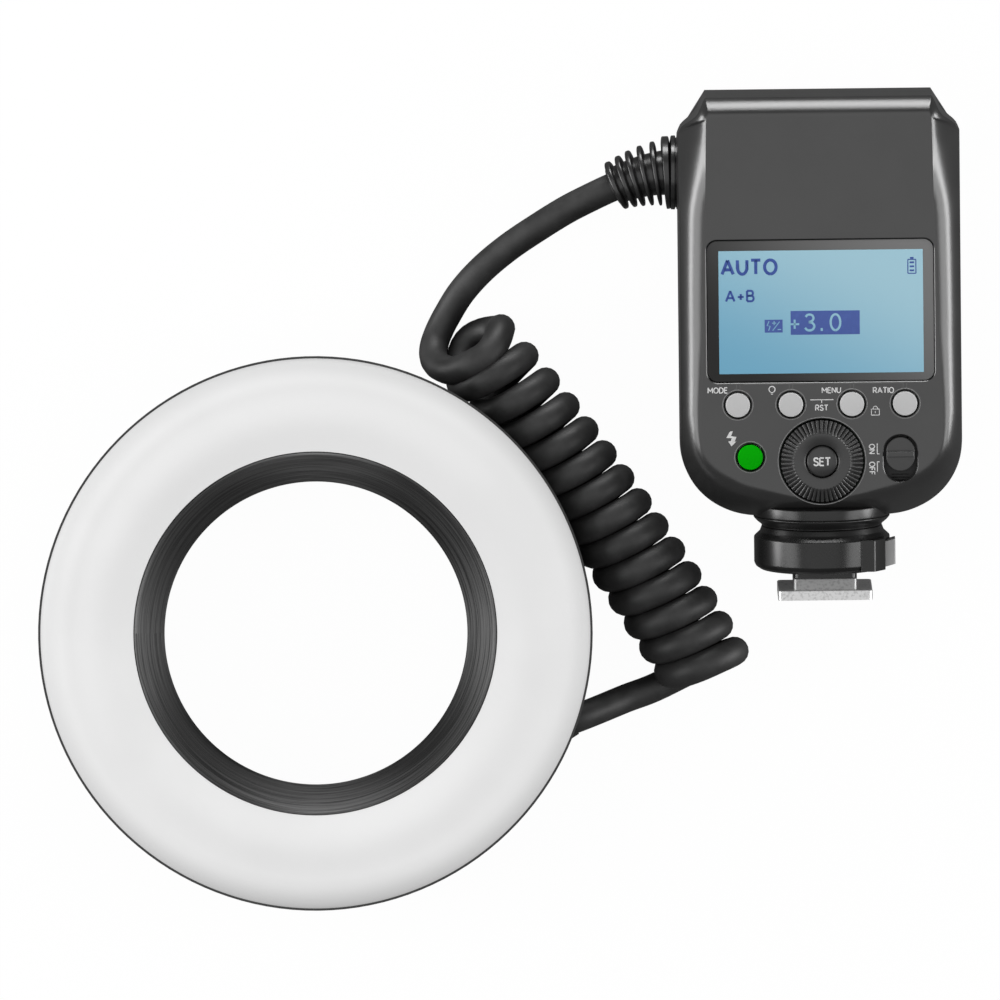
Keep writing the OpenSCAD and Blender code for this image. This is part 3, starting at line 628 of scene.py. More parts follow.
@dataclass(frozen=True)
class BrushedMetal:
    """Metal with fine streaks along one direction and dull speckles."""

    name: str
    colour: Triple
    dull: Triple
    stretch: Triple = (40, 1500, 1500)
    rough: Pair = (0.22, 0.42)
    metal: float = 1.0

    def make(self) -> bpy.types.Material:
        """Streaks move the gloss and the normal, speckles the colour.

        Returns:
            The material.
        """
        s = Shading(self.name)
        streak = s.noise(1, 3, s.node("ShaderNodeMapping", {}, {"Vector": s.place,
                                                                "Scale": self.stretch}))
        speck = s.noise(1800, 3)
        s.bump(streak, 0.15, 0.01)
        low, high = self.rough
        return s.set(Base_Color=s.blend(speck.between(0.45, 0.7), self.colour, self.dull),
                     Metallic=self.metal, Roughness=streak * (high - low) + low)


@dataclass(frozen=True)
class ClearPart:
    """Clear glass or lamp plastic with a slight tint and a faint haze."""

    name: str
    colour: Triple
    transmission: float = 0.8

    def make(self) -> bpy.types.Material:
        """Haze moves the gloss.

        Returns:
            The material.
        """
        s = Shading(self.name)
        haze = s.noise(300, 2)
        return s.set(Base_Color=s.blend(haze, self.colour, tuple(0.95 * c for c in self.colour)),
                     Roughness=haze * 0.08 + 0.05, Transmission_Weight=self.transmission, IOR=1.47)


@dataclass(frozen=True)
class DiffuserPlastic:
    """Opal plastic: milky white, with a painted glow that evens out its shading though it is no lamp, and
    painted shade where it rolls over at the rim.
    """

    name: str = "opal_diffuser"
    white: Triple = grey(184)
    shade: Triple = grey(179)
    # painted shade: colour of the rolled rim
    rim: Triple = grey(160)
    roll: Pair = (50.5, 55.0)
    # painted glow: emission strength, though the diffuser is no lamp
    glow: float = 0.36

    def make(self) -> bpy.types.Material:
        """A cloud moves the colour, the distance from the axis paints shade on the rolled rim in the colour
        and in the painted glow, and a fine noise moves the gloss.

        Returns:
            The material.
        """
        s = Shading(self.name)
        cloud = s.noise(35, 3)
        fine = s.noise(1500, 2)
        x, y, _ = s.axes()
        out = ((x * x + y * y) ** 0.5 * (1 / MM)).between(*self.roll)
        body = s.blend(cloud.between(0.35, 0.65), self.shade, self.white)
        s.bump(fine, 0.12, 0.01)
        # painted shade towards the rim, in the colour and in the painted glow
        return s.set(Base_Color=s.blend(out, body, self.rim), Roughness=fine * 0.12 + 0.5,
                     Emission_Color=s.blend(out, grey(255), grey(236)), Emission_Strength=self.glow)


@dataclass(frozen=True)
class TurnedPlastic:
    """Dark plastic turned on a lathe: fine lines round the z axis, with painted highlights in four fans."""

    name: str = "turned_cone"
    dark: Triple = grey(26)
    light: Triple = grey(72)
    # colour of the painted highlights in the four fans
    painted_fan_highlight: Triple = grey(120)

    def make(self) -> bpy.types.Material:
        """Noise on the radius and a little of the angle draws lines round the axis, and a cosine of four
        times the angle paints highlights on them in four directions.

        Returns:
            The material.
        """
        s = Shading(self.name)
        x, y, z = s.axes()
        radius = (x * x + y * y) ** 0.5
        angle = y.math("ARCTAN2", x)
        where = s.node("ShaderNodeCombineXYZ", {}, {0: radius, 1: z, 2: angle * 0.0006})
        lines = s.noise(1900, 3, where)
        broken = s.noise(5200, 2, where)
        painted_fans = ((angle * 4.0 + math.pi / 2).sine() * 0.5 + 0.5) ** 1.5
        s.bump(lines, 0.4, 0.05)
        plain = s.blend(lines.between(0.35, 0.7), self.dark, self.light)
        # painted highlight: the lines lighten towards the fan colour in four directions round the axis
        shine = painted_fans * (lines * 0.5 + broken * 0.5).between(0.3, 0.62) * 0.8
        return s.set(Base_Color=s.blend(shine, plain, self.painted_fan_highlight), Roughness=lines * 0.25 + 0.36)


@dataclass(frozen=True)
class CordJacket:
    """Soft black jacket: satin, with a dry dusty mottle and a fine skin."""

    name: str = "cord_jacket"
    dark: Triple = grey(39)
    light: Triple = grey(53)

    def make(self) -> bpy.types.Material:
        """A mottle moves colour and gloss, a fine skin the normal.

        Returns:
            The material.
        """
        s = Shading(self.name)
        mottle = s.noise(220, 4)
        skin = s.noise(3200, 2)
        s.bump(skin, 0.2, 0.02)
        return s.set(Base_Color=s.blend(mottle.between(0.3, 0.7), self.dark, self.light),
                     Roughness=mottle * 0.14 + 0.46)


@dataclass(frozen=True)
class DisplayLight:
    """Lit display: pale blue that deepens to its lower left, with a faint cell grid."""

    name: str = "lit_display"
    pale: Triple = tone(160, 205, 222)
    deep: Triple = tone(108, 176, 208)
    cell: float = 0.35

    def make(self) -> bpy.types.Material:
        """A slope across the display and a sine of both directions.

        Returns:
            The material.
        """
        s = Shading(self.name)
        across, up = s.face()
        slope = (across * 0.5 + up - 42.0).between(-22.0, 16.0)
        turns = 2 * math.pi / self.cell
        cells = abs((across * turns).sine() * (up * turns).sine())
        pale = s.blend(cells * 0.06, self.pale, grey(255))
        return s.set(Base_Color=s.blend(slope, self.deep, pale), Roughness=cells * 0.03 + 0.3,
                     Coat_Weight=0.5, Coat_Roughness=0.03)


@dataclass(frozen=True)
class WindowBorder:
    """Dark glossy border with a painted reflection of a soft light, lighter towards its upper right."""

    name: str = "window_border"
    dark: Triple = grey(28)
    # painted reflection: the colour at the border's upper right
    light: Triple = grey(122)

    def make(self) -> bpy.types.Material:
        """A slope across the window paints a reflection into the colour, and a haze moves the gloss.

        Returns:
            The material.
        """
        s = Shading(self.name)
        across, up = s.face()
        haze = s.noise(200, 2)
        # painted reflection, lighter towards the upper right
        slope = (across + up * 0.8 - 42.0).between(-36.0, 26.0)
        return s.set(Base_Color=s.blend(slope, self.dark, self.light),
                     Roughness=haze * 0.1 + 0.2, Specular_IOR_Level=0.3)


@dataclass(frozen=True)
class Ink:
    """Printed or displayed marks: one colour with uneven cover."""

    name: str
    full: Triple
    thin: Triple

    def make(self) -> bpy.types.Material:
        """Noise moves the colour and the gloss.

        Returns:
            The material.
        """
        s = Shading(self.name)
        cover = s.noise(900, 3)
        return s.set(Base_Color=s.blend(cover.between(0.4, 0.8), self.full, self.thin),
                     Roughness=cover * 0.2 + 0.4)


class Finishes:
    """All finishes, by the record's material slot or a name of their own, each built once."""

    KINDS = {
        "body_plastic": MouldedPlastic("satin_body", grey(37), grey(42), (0.26, 0.33), shine=1.0),
        "display_glass": WindowBorder(),
        "display_panel": DisplayLight(),
        "white_plastic": MouldedPlastic("white_moulding", grey(222), grey(230)),
        "circuit_board": MouldedPlastic("board_lacquer", tone(18, 74, 40), tone(26, 96, 52),
                                        (0.25, 0.4)),
        "grey_button": MouldedPlastic("grey_button", grey(198), grey(204), (0.4, 0.5)),
        "green_button": MouldedPlastic("green_button", tone(0, 170, 0), tone(0, 177, 0),
                                       (0.4, 0.5), shine=0.05),
        "dial_plastic": MouldedPlastic("dial_plastic", grey(44), grey(50), (0.26, 0.34), shine=0.7),
        "steel": BrushedMetal("plated_steel", grey(190), grey(150)),
        "brass": BrushedMetal("plated_brass", tone(214, 178, 98), tone(180, 140, 70)),
        "capacitor_sleeve": MouldedPlastic("capacitor_sleeve", tone(30, 38, 58), tone(40, 50, 74),
                                           (0.2, 0.3)),
        "copper_winding": MouldedPlastic("winding_tape", tone(150, 110, 48), tone(178, 134, 66)),
        "battery_case": MouldedPlastic("battery_case", grey(40), grey(48)),
        "gland_plastic": MouldedPlastic("gland_plastic", grey(26), grey(32), (0.22, 0.3), shine=0.9),
        "boot_rubber": MouldedPlastic("boot_rubber", grey(28), grey(36), (0.26, 0.34), 3000, 0.9),
        "collar_plastic": MouldedPlastic("collar_plastic", grey(22), grey(28), (0.24, 0.32)),
        "foot_metal": BrushedMetal("foot_metal", grey(226), grey(196), metal=0.5),
        "release_plastic": MouldedPlastic("release_plastic", grey(160), grey(172), (0.32, 0.42)),
        "ring_plastic": MouldedPlastic("ring_plastic", grey(44), grey(52), (0.36, 0.46)),
        "diffuser_plastic": DiffuserPlastic(),
        "cone_plastic": TurnedPlastic(),
        "reflector_metal": BrushedMetal("reflector_sheet", grey(225), grey(205)),
        "tube_glass": ClearPart("tube_glass", (0.93, 0.96, 0.98)),
        "lamp_plastic": ClearPart("lamp_lens", (0.95, 0.9, 0.72), 0.5),
        "latch_plastic": MouldedPlastic("latch_plastic", grey(70), grey(82)),
        "cord_jacket": CordJacket(),
        "white_print": Ink("white_print", grey(232), grey(205)),
        "display_ink": Ink("display_ink", tone(50, 78, 158), tone(60, 92, 170)),
        "display_box": Ink("display_box", tone(66, 90, 164), tone(72, 98, 172)),
        "foot_block": BrushedMetal("foot_block", grey(150), grey(128), (1500, 40, 1500), metal=0.6),
        # painted highlight: light grey for the body-plastic lips round the holes
        "painted_highlight_lip": MouldedPlastic("painted_highlight_lip", grey(122), grey(132), (0.3, 0.38)),
        "score_line": Ink("score_line", grey(98), grey(86)),
        # painted shade: near-black for the body-plastic floor of the switch slot
        "painted_shade_well": MouldedPlastic("painted_shade_well", grey(10), grey(16), (0.45, 0.55)),
    }

    def __init__(self) -> None:
        """Starts with nothing built."""
        self.built: dict[str, bpy.types.Material] = {}

    def get(self, slot: str) -> bpy.types.Material:
        """A finish, which is built when it is first asked for.

        Args:
            slot: its name in the table.
        Returns:
            The material.
        """
        if slot not in self.built:
            self.built[slot] = self.KINDS[slot].make()
        return self.built[slot]

    def dress_nodes(self, frame: dict) -> None:
        """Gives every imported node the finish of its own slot.
        """
        for part in frame["record"]["subparts"]:
            node = frame["nodes"][part["node"]]
            node.data.materials.clear()
            node.data.materials.append(self.get(part["material_slot"]))


@dataclass
class Assembly:
    """Some pieces that belong together and take their looks from the same finishes."""

    finishes: Finishes

    def dress(self, piece: bpy.types.Object, slot: str, *replaced: str, body: Body = Body.ROOT,
              look: str = "") -> None:
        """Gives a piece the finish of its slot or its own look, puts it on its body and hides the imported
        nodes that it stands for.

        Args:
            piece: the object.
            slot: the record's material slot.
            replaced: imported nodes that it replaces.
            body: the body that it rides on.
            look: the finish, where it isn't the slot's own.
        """
        piece.data.materials.clear()
        piece.data.materials.append(self.finishes.get(look or slot))
        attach(piece, body.value)
        if replaced:
            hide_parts(*replaced)
        LOG.info("piece %s on %s", piece.name, body.value)

    def lay(self, marks: Print, slot: str = "body_plastic", body: Body = Body.ROOT) -> None:
        """Makes the piece of some marks, in their own look, on the body of what they lie on."""
        self.dress(marks.made.piece(marks.name, UNIT), slot, body=body, look=marks.look)


# Studio


@dataclass(frozen=True)
class Lamp:
    """A soft box: where it stands and its size, in metres, and its power."""

    name: str
    stand: Triple
    size: Pair
    power: float


@dataclass
class Studio:
    """Camera, soft boxes, white floor and a plain world."""

    middle: Pair = (36.94, 26.7)
    sharp_z: float = 26.0
    span: float = 200.0
    lens: float = 800.0
    sensor: float = 36.0
    ambient: float = 0.14
    floor_glow: float = 0.72
    floor_gloss: float = 0.04
    floor_light: float = 1.35
    floor_colour: Triple = (0.11, 0.11, 0.11)
    floor_half: float = 6000.0
    floor_z: float = -0.1
    look_z: float = 20.0
    clip_end: float = 50.0
    lamps: tuple[Lamp, ...] = (
        Lamp("lamp_left", (-0.8, 0.1, 0.13), (0.54, 0.28), 4.4),
        Lamp("lamp_right", (1.02, 0.1, 0.13), (0.54, 0.28), 4.4),
        Lamp("panel_left", (-0.62, -0.08, 0.5), (0.5, 0.4), 2.1),
        Lamp("panel_right", (0.84, -0.08, 0.5), (0.5, 0.4), 2.1),
        Lamp("lamp_top", (0.1, 0.95, 0.2), (0.6, 0.3), 5.2),
        Lamp("panel_above", (0.04, 0.0, 1.6), (2.0, 2.0), 9.0),
    )

    def camera(self) -> None:
        """A long lens straight above, so that the frame is span wide at the lit face."""
        data = bpy.data.cameras.new("camera")
        data.lens = self.lens
        data.sensor_width = self.sensor
        data.clip_end = self.clip_end
        made = linked("camera", data)
        high = self.span * self.lens / self.sensor + self.sharp_z
        made.location = np.array([*self.middle, high]) * MM
        bpy.context.scene.camera = made

    def lights(self) -> None:
        """Soft boxes that look at the middle of the object."""
        goal = np.array([*self.middle, self.look_z]) * MM
        for lamp in self.lamps:
            data = bpy.data.lights.new(lamp.name, "AREA")
            data.shape = "RECTANGLE"
            data.size, data.size_y = lamp.size
            data.energy = lamp.power
            made = linked(lamp.name, data)
            made.location = lamp.stand
            made.rotation_euler = self.aim(goal - np.array(lamp.stand))
            made.visible_camera = False

    @staticmethod
    def aim(way: Array) -> Triple:
        """Turns for a lamp, which looks down its own -Z, so that it looks along a direction."""
        flat = math.hypot(way[0], way[1])
        return (math.atan2(flat, -way[2]), 0.0, math.atan2(-way[0], way[1]))

    def floor(self) -> None:
        """A wide white floor that glows for the camera and keeps the object's shadow."""
        ends = (-self.floor_half, self.floor_half)
        corners = [[(x, y, self.floor_z) for x in ends] for y in ends]
        made = Patchwork()
        made.grid(np.array(corners))
        piece = made.piece("floor")
        s = Shading("white_floor")
        s.set(Base_Color=self.floor_colour, Roughness=0.9, Specular_IOR_Level=0.0)
        direct = s.node("ShaderNodeLightPath", {}, {}, "Is Camera Ray")
        seen = direct.math("MAXIMUM", direct.beside("Is Transmission Ray"))
        share = seen * self.floor_glow + direct.beside("Is Glossy Ray") * self.floor_gloss
        glow = s.node("ShaderNodeEmission", {}, {"Strength": self.floor_light})
        both = s.node("ShaderNodeMixShader", {}, {0: share, 1: Term(s, s.shader.outputs[0]), 2: glow})
        s.feed(s.tree.nodes["Material Output"].inputs["Surface"], both)
        piece.data.materials.append(s.material)

    def world(self) -> None:
        """A plain pale world, and the colours shown as they are."""
        world = bpy.data.worlds.new("studio")
        world.use_nodes = True
        back = world.node_tree.nodes["Background"]
        back.inputs["Color"].default_value = (1.0, 1.0, 1.0, 1.0)
        back.inputs["Strength"].default_value = self.ambient
        bpy.context.scene.world = world
        bpy.context.scene.view_settings.view_transform = "Standard"


# Cord


@dataclass
class CurlyCord(Assembly):
    """One cord: a lead from the unit's boot, the curls and a lead into the ring."""

    diameter: float = 5.75
    curl_r: float = 6.8
    lean: float = 8.0
    eye: float = 3.4
    sag: float = 3.0
    tuck: float = 1.3
    curls: int = 14
    coil_from: Pair = (32.0, 56.7)
    coil_to: Pair = (78.1, -6.9)
    bow: float = 1.75
    opening: float = 3.2
    fade: float = 1.83
    start: float = -0.389
    tail_swing: float = 10.0
    swing_part: float = 0.5
    tuck_part: float = 0.4
    sag_part: float = 0.25
    eye_from: float = 0.02
    eye_part: float = 0.46
    last_part: float = 0.75
    clear: float = 0.1
    shortest: float = 0.05
    lead_steps: int = 6
    per_curl: int = 36
    upper: tuple[Triple, ...] = (
        (63.0, 90.8, 13.6), (59.6, 89.5, 13.1), (55.5, 87.6, 12.6), (50.2, 84.9, 11.6),
        (44.5, 81.4, 10.2), (38.7, 77.5, 8.6), (33.5, 73.2, 6.9), (29.3, 68.6, 5.2),
        (26.4, 64.0, 3.9), (24.5, 60.2, 3.7), (23.6, 57.2, 5.0), (23.8, 54.8, 7.4),
        (25.4, 53.2, 10.6))
    lower: tuple[Triple, ...] = (
        (68.2, -10.9, 3.55), (62.4, -13.1, 4.4), (57.0, -15.3, 7.2), (53.2, -16.8, 9.1),
        (50.0, -18.0, 9.5))

    def curl(self, k: Array) -> Array:
        """Middle line of the curls. The axis runs from one end to the other with a slight bow and
        a wider first gap; the line goes round it once for each k, leaning along the axis. The
        first curl's upper half sags forward and its lower half slips back, which opens its eye, and
        the very end slips back too.

        Args:
            k: turns round the axis at each point.
        Returns:
            The points.
        """
        a, b = np.array(self.coil_from), np.array(self.coil_to)
        chord = float(np.linalg.norm(b - a))
        pitch = (chord - self.opening) / (self.curls - 1)
        q = ((pitch * k + self.opening * (1 - np.exp(-k / self.fade))) / chord)[:, None]
        c = (b - a) / chord
        s = np.array([-c[1], c[0]])
        along = unit(c * chord + 4 * self.bow * (1 - 2 * q) * s)
        axis = a + (b - a) * q + 4 * self.bow * q * (1 - q) * s
        end = self.curls - self.last_part
        swing = np.radians(self.tail_swing * ease(k, end - self.swing_part, end))[:, None]
        across = np.stack([-along[:, 1], along[:, 0]], -1)
        side = across * np.cos(swing) + along * np.sin(swing)
        turn = (-2 * np.pi * k)[:, None]
        lean = math.radians(self.lean)
        first = np.clip((k - self.eye_from) / self.eye_part, 0, 1)
        slip = self.eye * np.sin(np.pi * first) ** 2 + self.tuck * ease(k, end - self.tuck_part, end)
        slip -= self.sag * (1 - ease(k, -self.sag_part, 0.0))
        axis = axis - slip[:, None] * along
        flat = axis + self.curl_r * (np.cos(turn) * side + np.sin(turn) * math.sin(lean) * along)
        rest = self.curl_r * math.cos(lean) + self.diameter / 2 + self.clear
        return np.hstack([flat, rest + self.curl_r * np.sin(turn) * math.cos(lean)])

    def line(self) -> Array:
        """The whole middle line: upper lead, curls and lower lead, with smooth joins.

        Returns:
            Points from inside the boot to the ring's gland.
        """
        end, per = self.curls - self.last_part, self.lead_steps
        k = np.linspace(self.start, end, int((end - self.start) * self.per_curl))
        coil = self.curl(k)
        upper = smooth_line([*self.upper, *coil[[0, per]].tolist()], per)[:-per - 1]
        lower = smooth_line([*coil[[-per - 1, -1]].tolist(), *self.lower], per)[per + 1:]
        line = np.concatenate([upper, coil, lower])
        keep = np.concatenate([[True], gaps(line) > self.shortest])
        return line[keep]

    def build(self) -> None:
        line = self.line()
        curve = bpy.data.curves.new("curly_cord", "CURVE")
        curve.dimensions = "3D"
        curve.bevel_depth = self.diameter / 2 * MM
        curve.bevel_resolution = 7
        curve.use_fill_caps = True
        spline = curve.splines.new("POLY")
        spline.points.add(len(line) - 1)
        spline.points.foreach_set("co", np.hstack([line * MM, np.ones((len(line), 1))]).ravel())
        spline.use_smooth = True
        piece = linked("curly_cord", curve)
        self.dress(piece, "cord_jacket", "cord_upper_lead", "cord_coil", "cord_lower_lead")


@dataclass
class Boot(Assembly):
    """Ribbed strain relief between the unit's outlet and the cord."""

    start: Triple = (71.05, 92.4, 14.0)
    bend: Triple = (65.8, 92.3, 14.0)
    end: Triple = (59.6, 89.5, 13.1)
    flange_r: float = 7.3
    flange_part: float = 0.135
    middles: tuple[float, ...] = (0.256, 0.448, 0.625, 0.78, 0.936)
    first_r: float = 6.5
    last_r: float = 5.1
    core: Pair = (4.6, 3.7)
    half_rib: float = 0.05
    edge_part: float = 0.03
    step: float = 0.6
    outlet: tuple[Pair, ...] = (
        (70.9, 6.0), (71.05, 6.8), (71.1, 7.2), (71.25, 7.4), (71.9, 7.45), (72.05, 7.3), (72.1, 7.0),
        (72.25, 7.0), (72.3, 7.3), (72.45, 7.45), (73.0, 7.6), (73.6, 8.0), (74.0, 8.6), (76.0, 8.6))

    def radii(self, t: Array) -> Array:
        """Radius along the boot: a flange, then a tapering core with one rounded swelling a rib.

        Args:
            t: parts of the way from the outlet to the cord.
        Returns:
            A radius for each.
        """
        core = self.core[0] + (self.core[1] - self.core[0]) * t
        tops = np.linspace(self.first_r, self.last_r, len(self.middles))
        near = np.clip(np.abs(t[:, None] - np.array(self.middles)) / self.half_rib, 0, 1)
        swell = ((1 - near ** 4) ** 0.5 * (tops - core[:, None])).max(1)
        edge = np.clip(np.minimum(t, self.flange_part - t) / self.edge_part, 0, 1)
        flange = (1 - (1 - edge) ** 2) ** 0.5 * (self.flange_r - core - self.step)
        return core + np.maximum(swell, flange + self.step * (t < self.flange_part))

    def build(self) -> None:
        """Sweeps the ribs along a quadratic curve from the outlet to the cord, and the outlet."""
        t = np.linspace(0, 1, 220)
        s = t[:, None]
        a, b, c = (np.array(p) for p in (self.start, self.bend, self.end))
        line = (1 - s) ** 2 * a + 2 * s * (1 - s) * b + s ** 2 * c
        self.dress(swept(line, self.radii(t), 56).piece("strain_relief", smooth=60), "boot_rubber",
                   "strain_relief_boot")
        x, radii = np.array(self.outlet).T
        line = np.stack([x, self.start[1] + 0 * x, self.start[2] + 0 * x], -1)
        self.dress(swept(line, radii, 72).piece("cord_outlet", smooth=40), "gland_plastic", "cable_gland")


# Ring head


@dataclass
class RingHead(Assembly):
    """Opal diffuser, turned inner cone and cord sleeve of the ring."""

    rim_r: float = 55.05
    inner_r: float = 36.4
    base_z: float = 23.0
    roll: float = 6.0
    lip: float = 0.3
    roll_high: float = 3.0
    swell: float = 0.5
    fall: float = 0.8
    wall: float = 1.6
    hole_r: float = 30.4
    cone_r: float = 35.6
    cone_low: float = 9.5
    cone_high: float = 25.5
    cone_back: tuple[Pair, ...] = (
        (35.85, 25.62), (36.2, 25.5), (36.2, 23.0), (35.6, 22.0), (32.7, 9.5), (38.8, 9.5), (38.8, 8.0),
        (30.4, 8.0))
    grooves: int = 30
    groove_depth: float = 0.07
    steps: int = 288
    gland_in: Triple = (41.0, -21.8, 9.5)
    gland_out: Triple = (51.6, -17.35, 9.5)
    gland_r: Pair = (3.97, 3.15)
    taper_from: float = 0.6

    def face(self, lift: float, fine: int) -> Array:
        """Section of the diffuser's face: a quarter ellipse at the rim, then a shallow crown that
        falls towards the inner edge.

        Args:
            lift: how far the section is moved into the wall.
            fine: points on each of the two curves.
        Returns:
            Points (r, z).
        """
        a = np.linspace(0, np.pi / 2, fine)
        r0 = self.rim_r - self.roll
        low = self.base_z + self.lip
        rolled = ellipse(a, (r0, low), self.roll - lift, self.roll_high - lift)
        q = np.linspace(0, 1, fine)[1:]
        top = np.stack([r0 + (self.inner_r + lift - r0) * q, low + self.roll_high - lift
                        + self.swell * np.sin(np.pi * q) ** 2 - self.fall * q ** 3], -1)
        return np.concatenate([rolled, top])

    def build_diffuser(self) -> None:
        """Turns the diffuser's section round the ring's axis."""
        front, back = self.face(0, 28), self.face(self.wall, 10)[::-1]
        section = np.concatenate([[[self.rim_r, self.base_z]], front, back,
                                  [[self.rim_r - self.wall, self.base_z]]])
        self.dress(turned(section, self.steps, True).piece("opal_diffuser", smooth=40),
                   "diffuser_plastic", "diffuser")

    def build_cone(self) -> None:
        """Turns the cone's section, whose seen side has a fine saw of grooves."""
        q = np.linspace(0, 1, self.grooves * 4 + 1)
        saw = self.groove_depth * np.abs(np.sin(np.pi * q * self.grooves))
        slope = np.array([self.cone_high - self.cone_low, self.hole_r - self.cone_r])
        slope /= np.linalg.norm(slope)
        low, high = np.array([self.hole_r, self.cone_low]), np.array([self.cone_r, self.cone_high])
        seen = low + (high - low) * q[:, None] + saw[:, None] * slope
        section = np.concatenate([seen, self.cone_back])[::-1]
        self.dress(turned(section, self.steps, True).piece("turned_cone", smooth=30), "cone_plastic",
                   "inner_bezel")

    def build_gland(self) -> None:
        """Sleeve where the cord goes into the ring: it fills the hole, then narrows to the cord."""
        far, near = np.array(self.gland_in), np.array(self.gland_out)
        part = np.linspace(0, 1, 11)
        line = far + (near - far) * part[:, None]
        wide, slim = self.gland_r
        radii = wide + (slim - wide) * np.clip((part - self.taper_from) / (1 - self.taper_from), 0, 1)
        self.dress(swept(line, radii, 48).piece("ring_sleeve"), "gland_plastic", "ring_cable_gland")

    def build(self) -> None:
        """Makes all pieces."""
        self.build_gland()
        self.build_diffuser()
        self.build_cone()


# Control unit


def hole(name: str, outline: Array, chamfer: float, depth: float = 4.0) -> bpy.types.Object:
    """A plug in the shape of a hole in the unit's face, which widens by chamfer at the face."""
    levels = np.array([-depth, -chamfer, 0.0, 1.0])
    return stacked(outline, levels, chamfer * np.array([0.0, 0.0, 1.0, 1.5])).piece(name, UNIT)


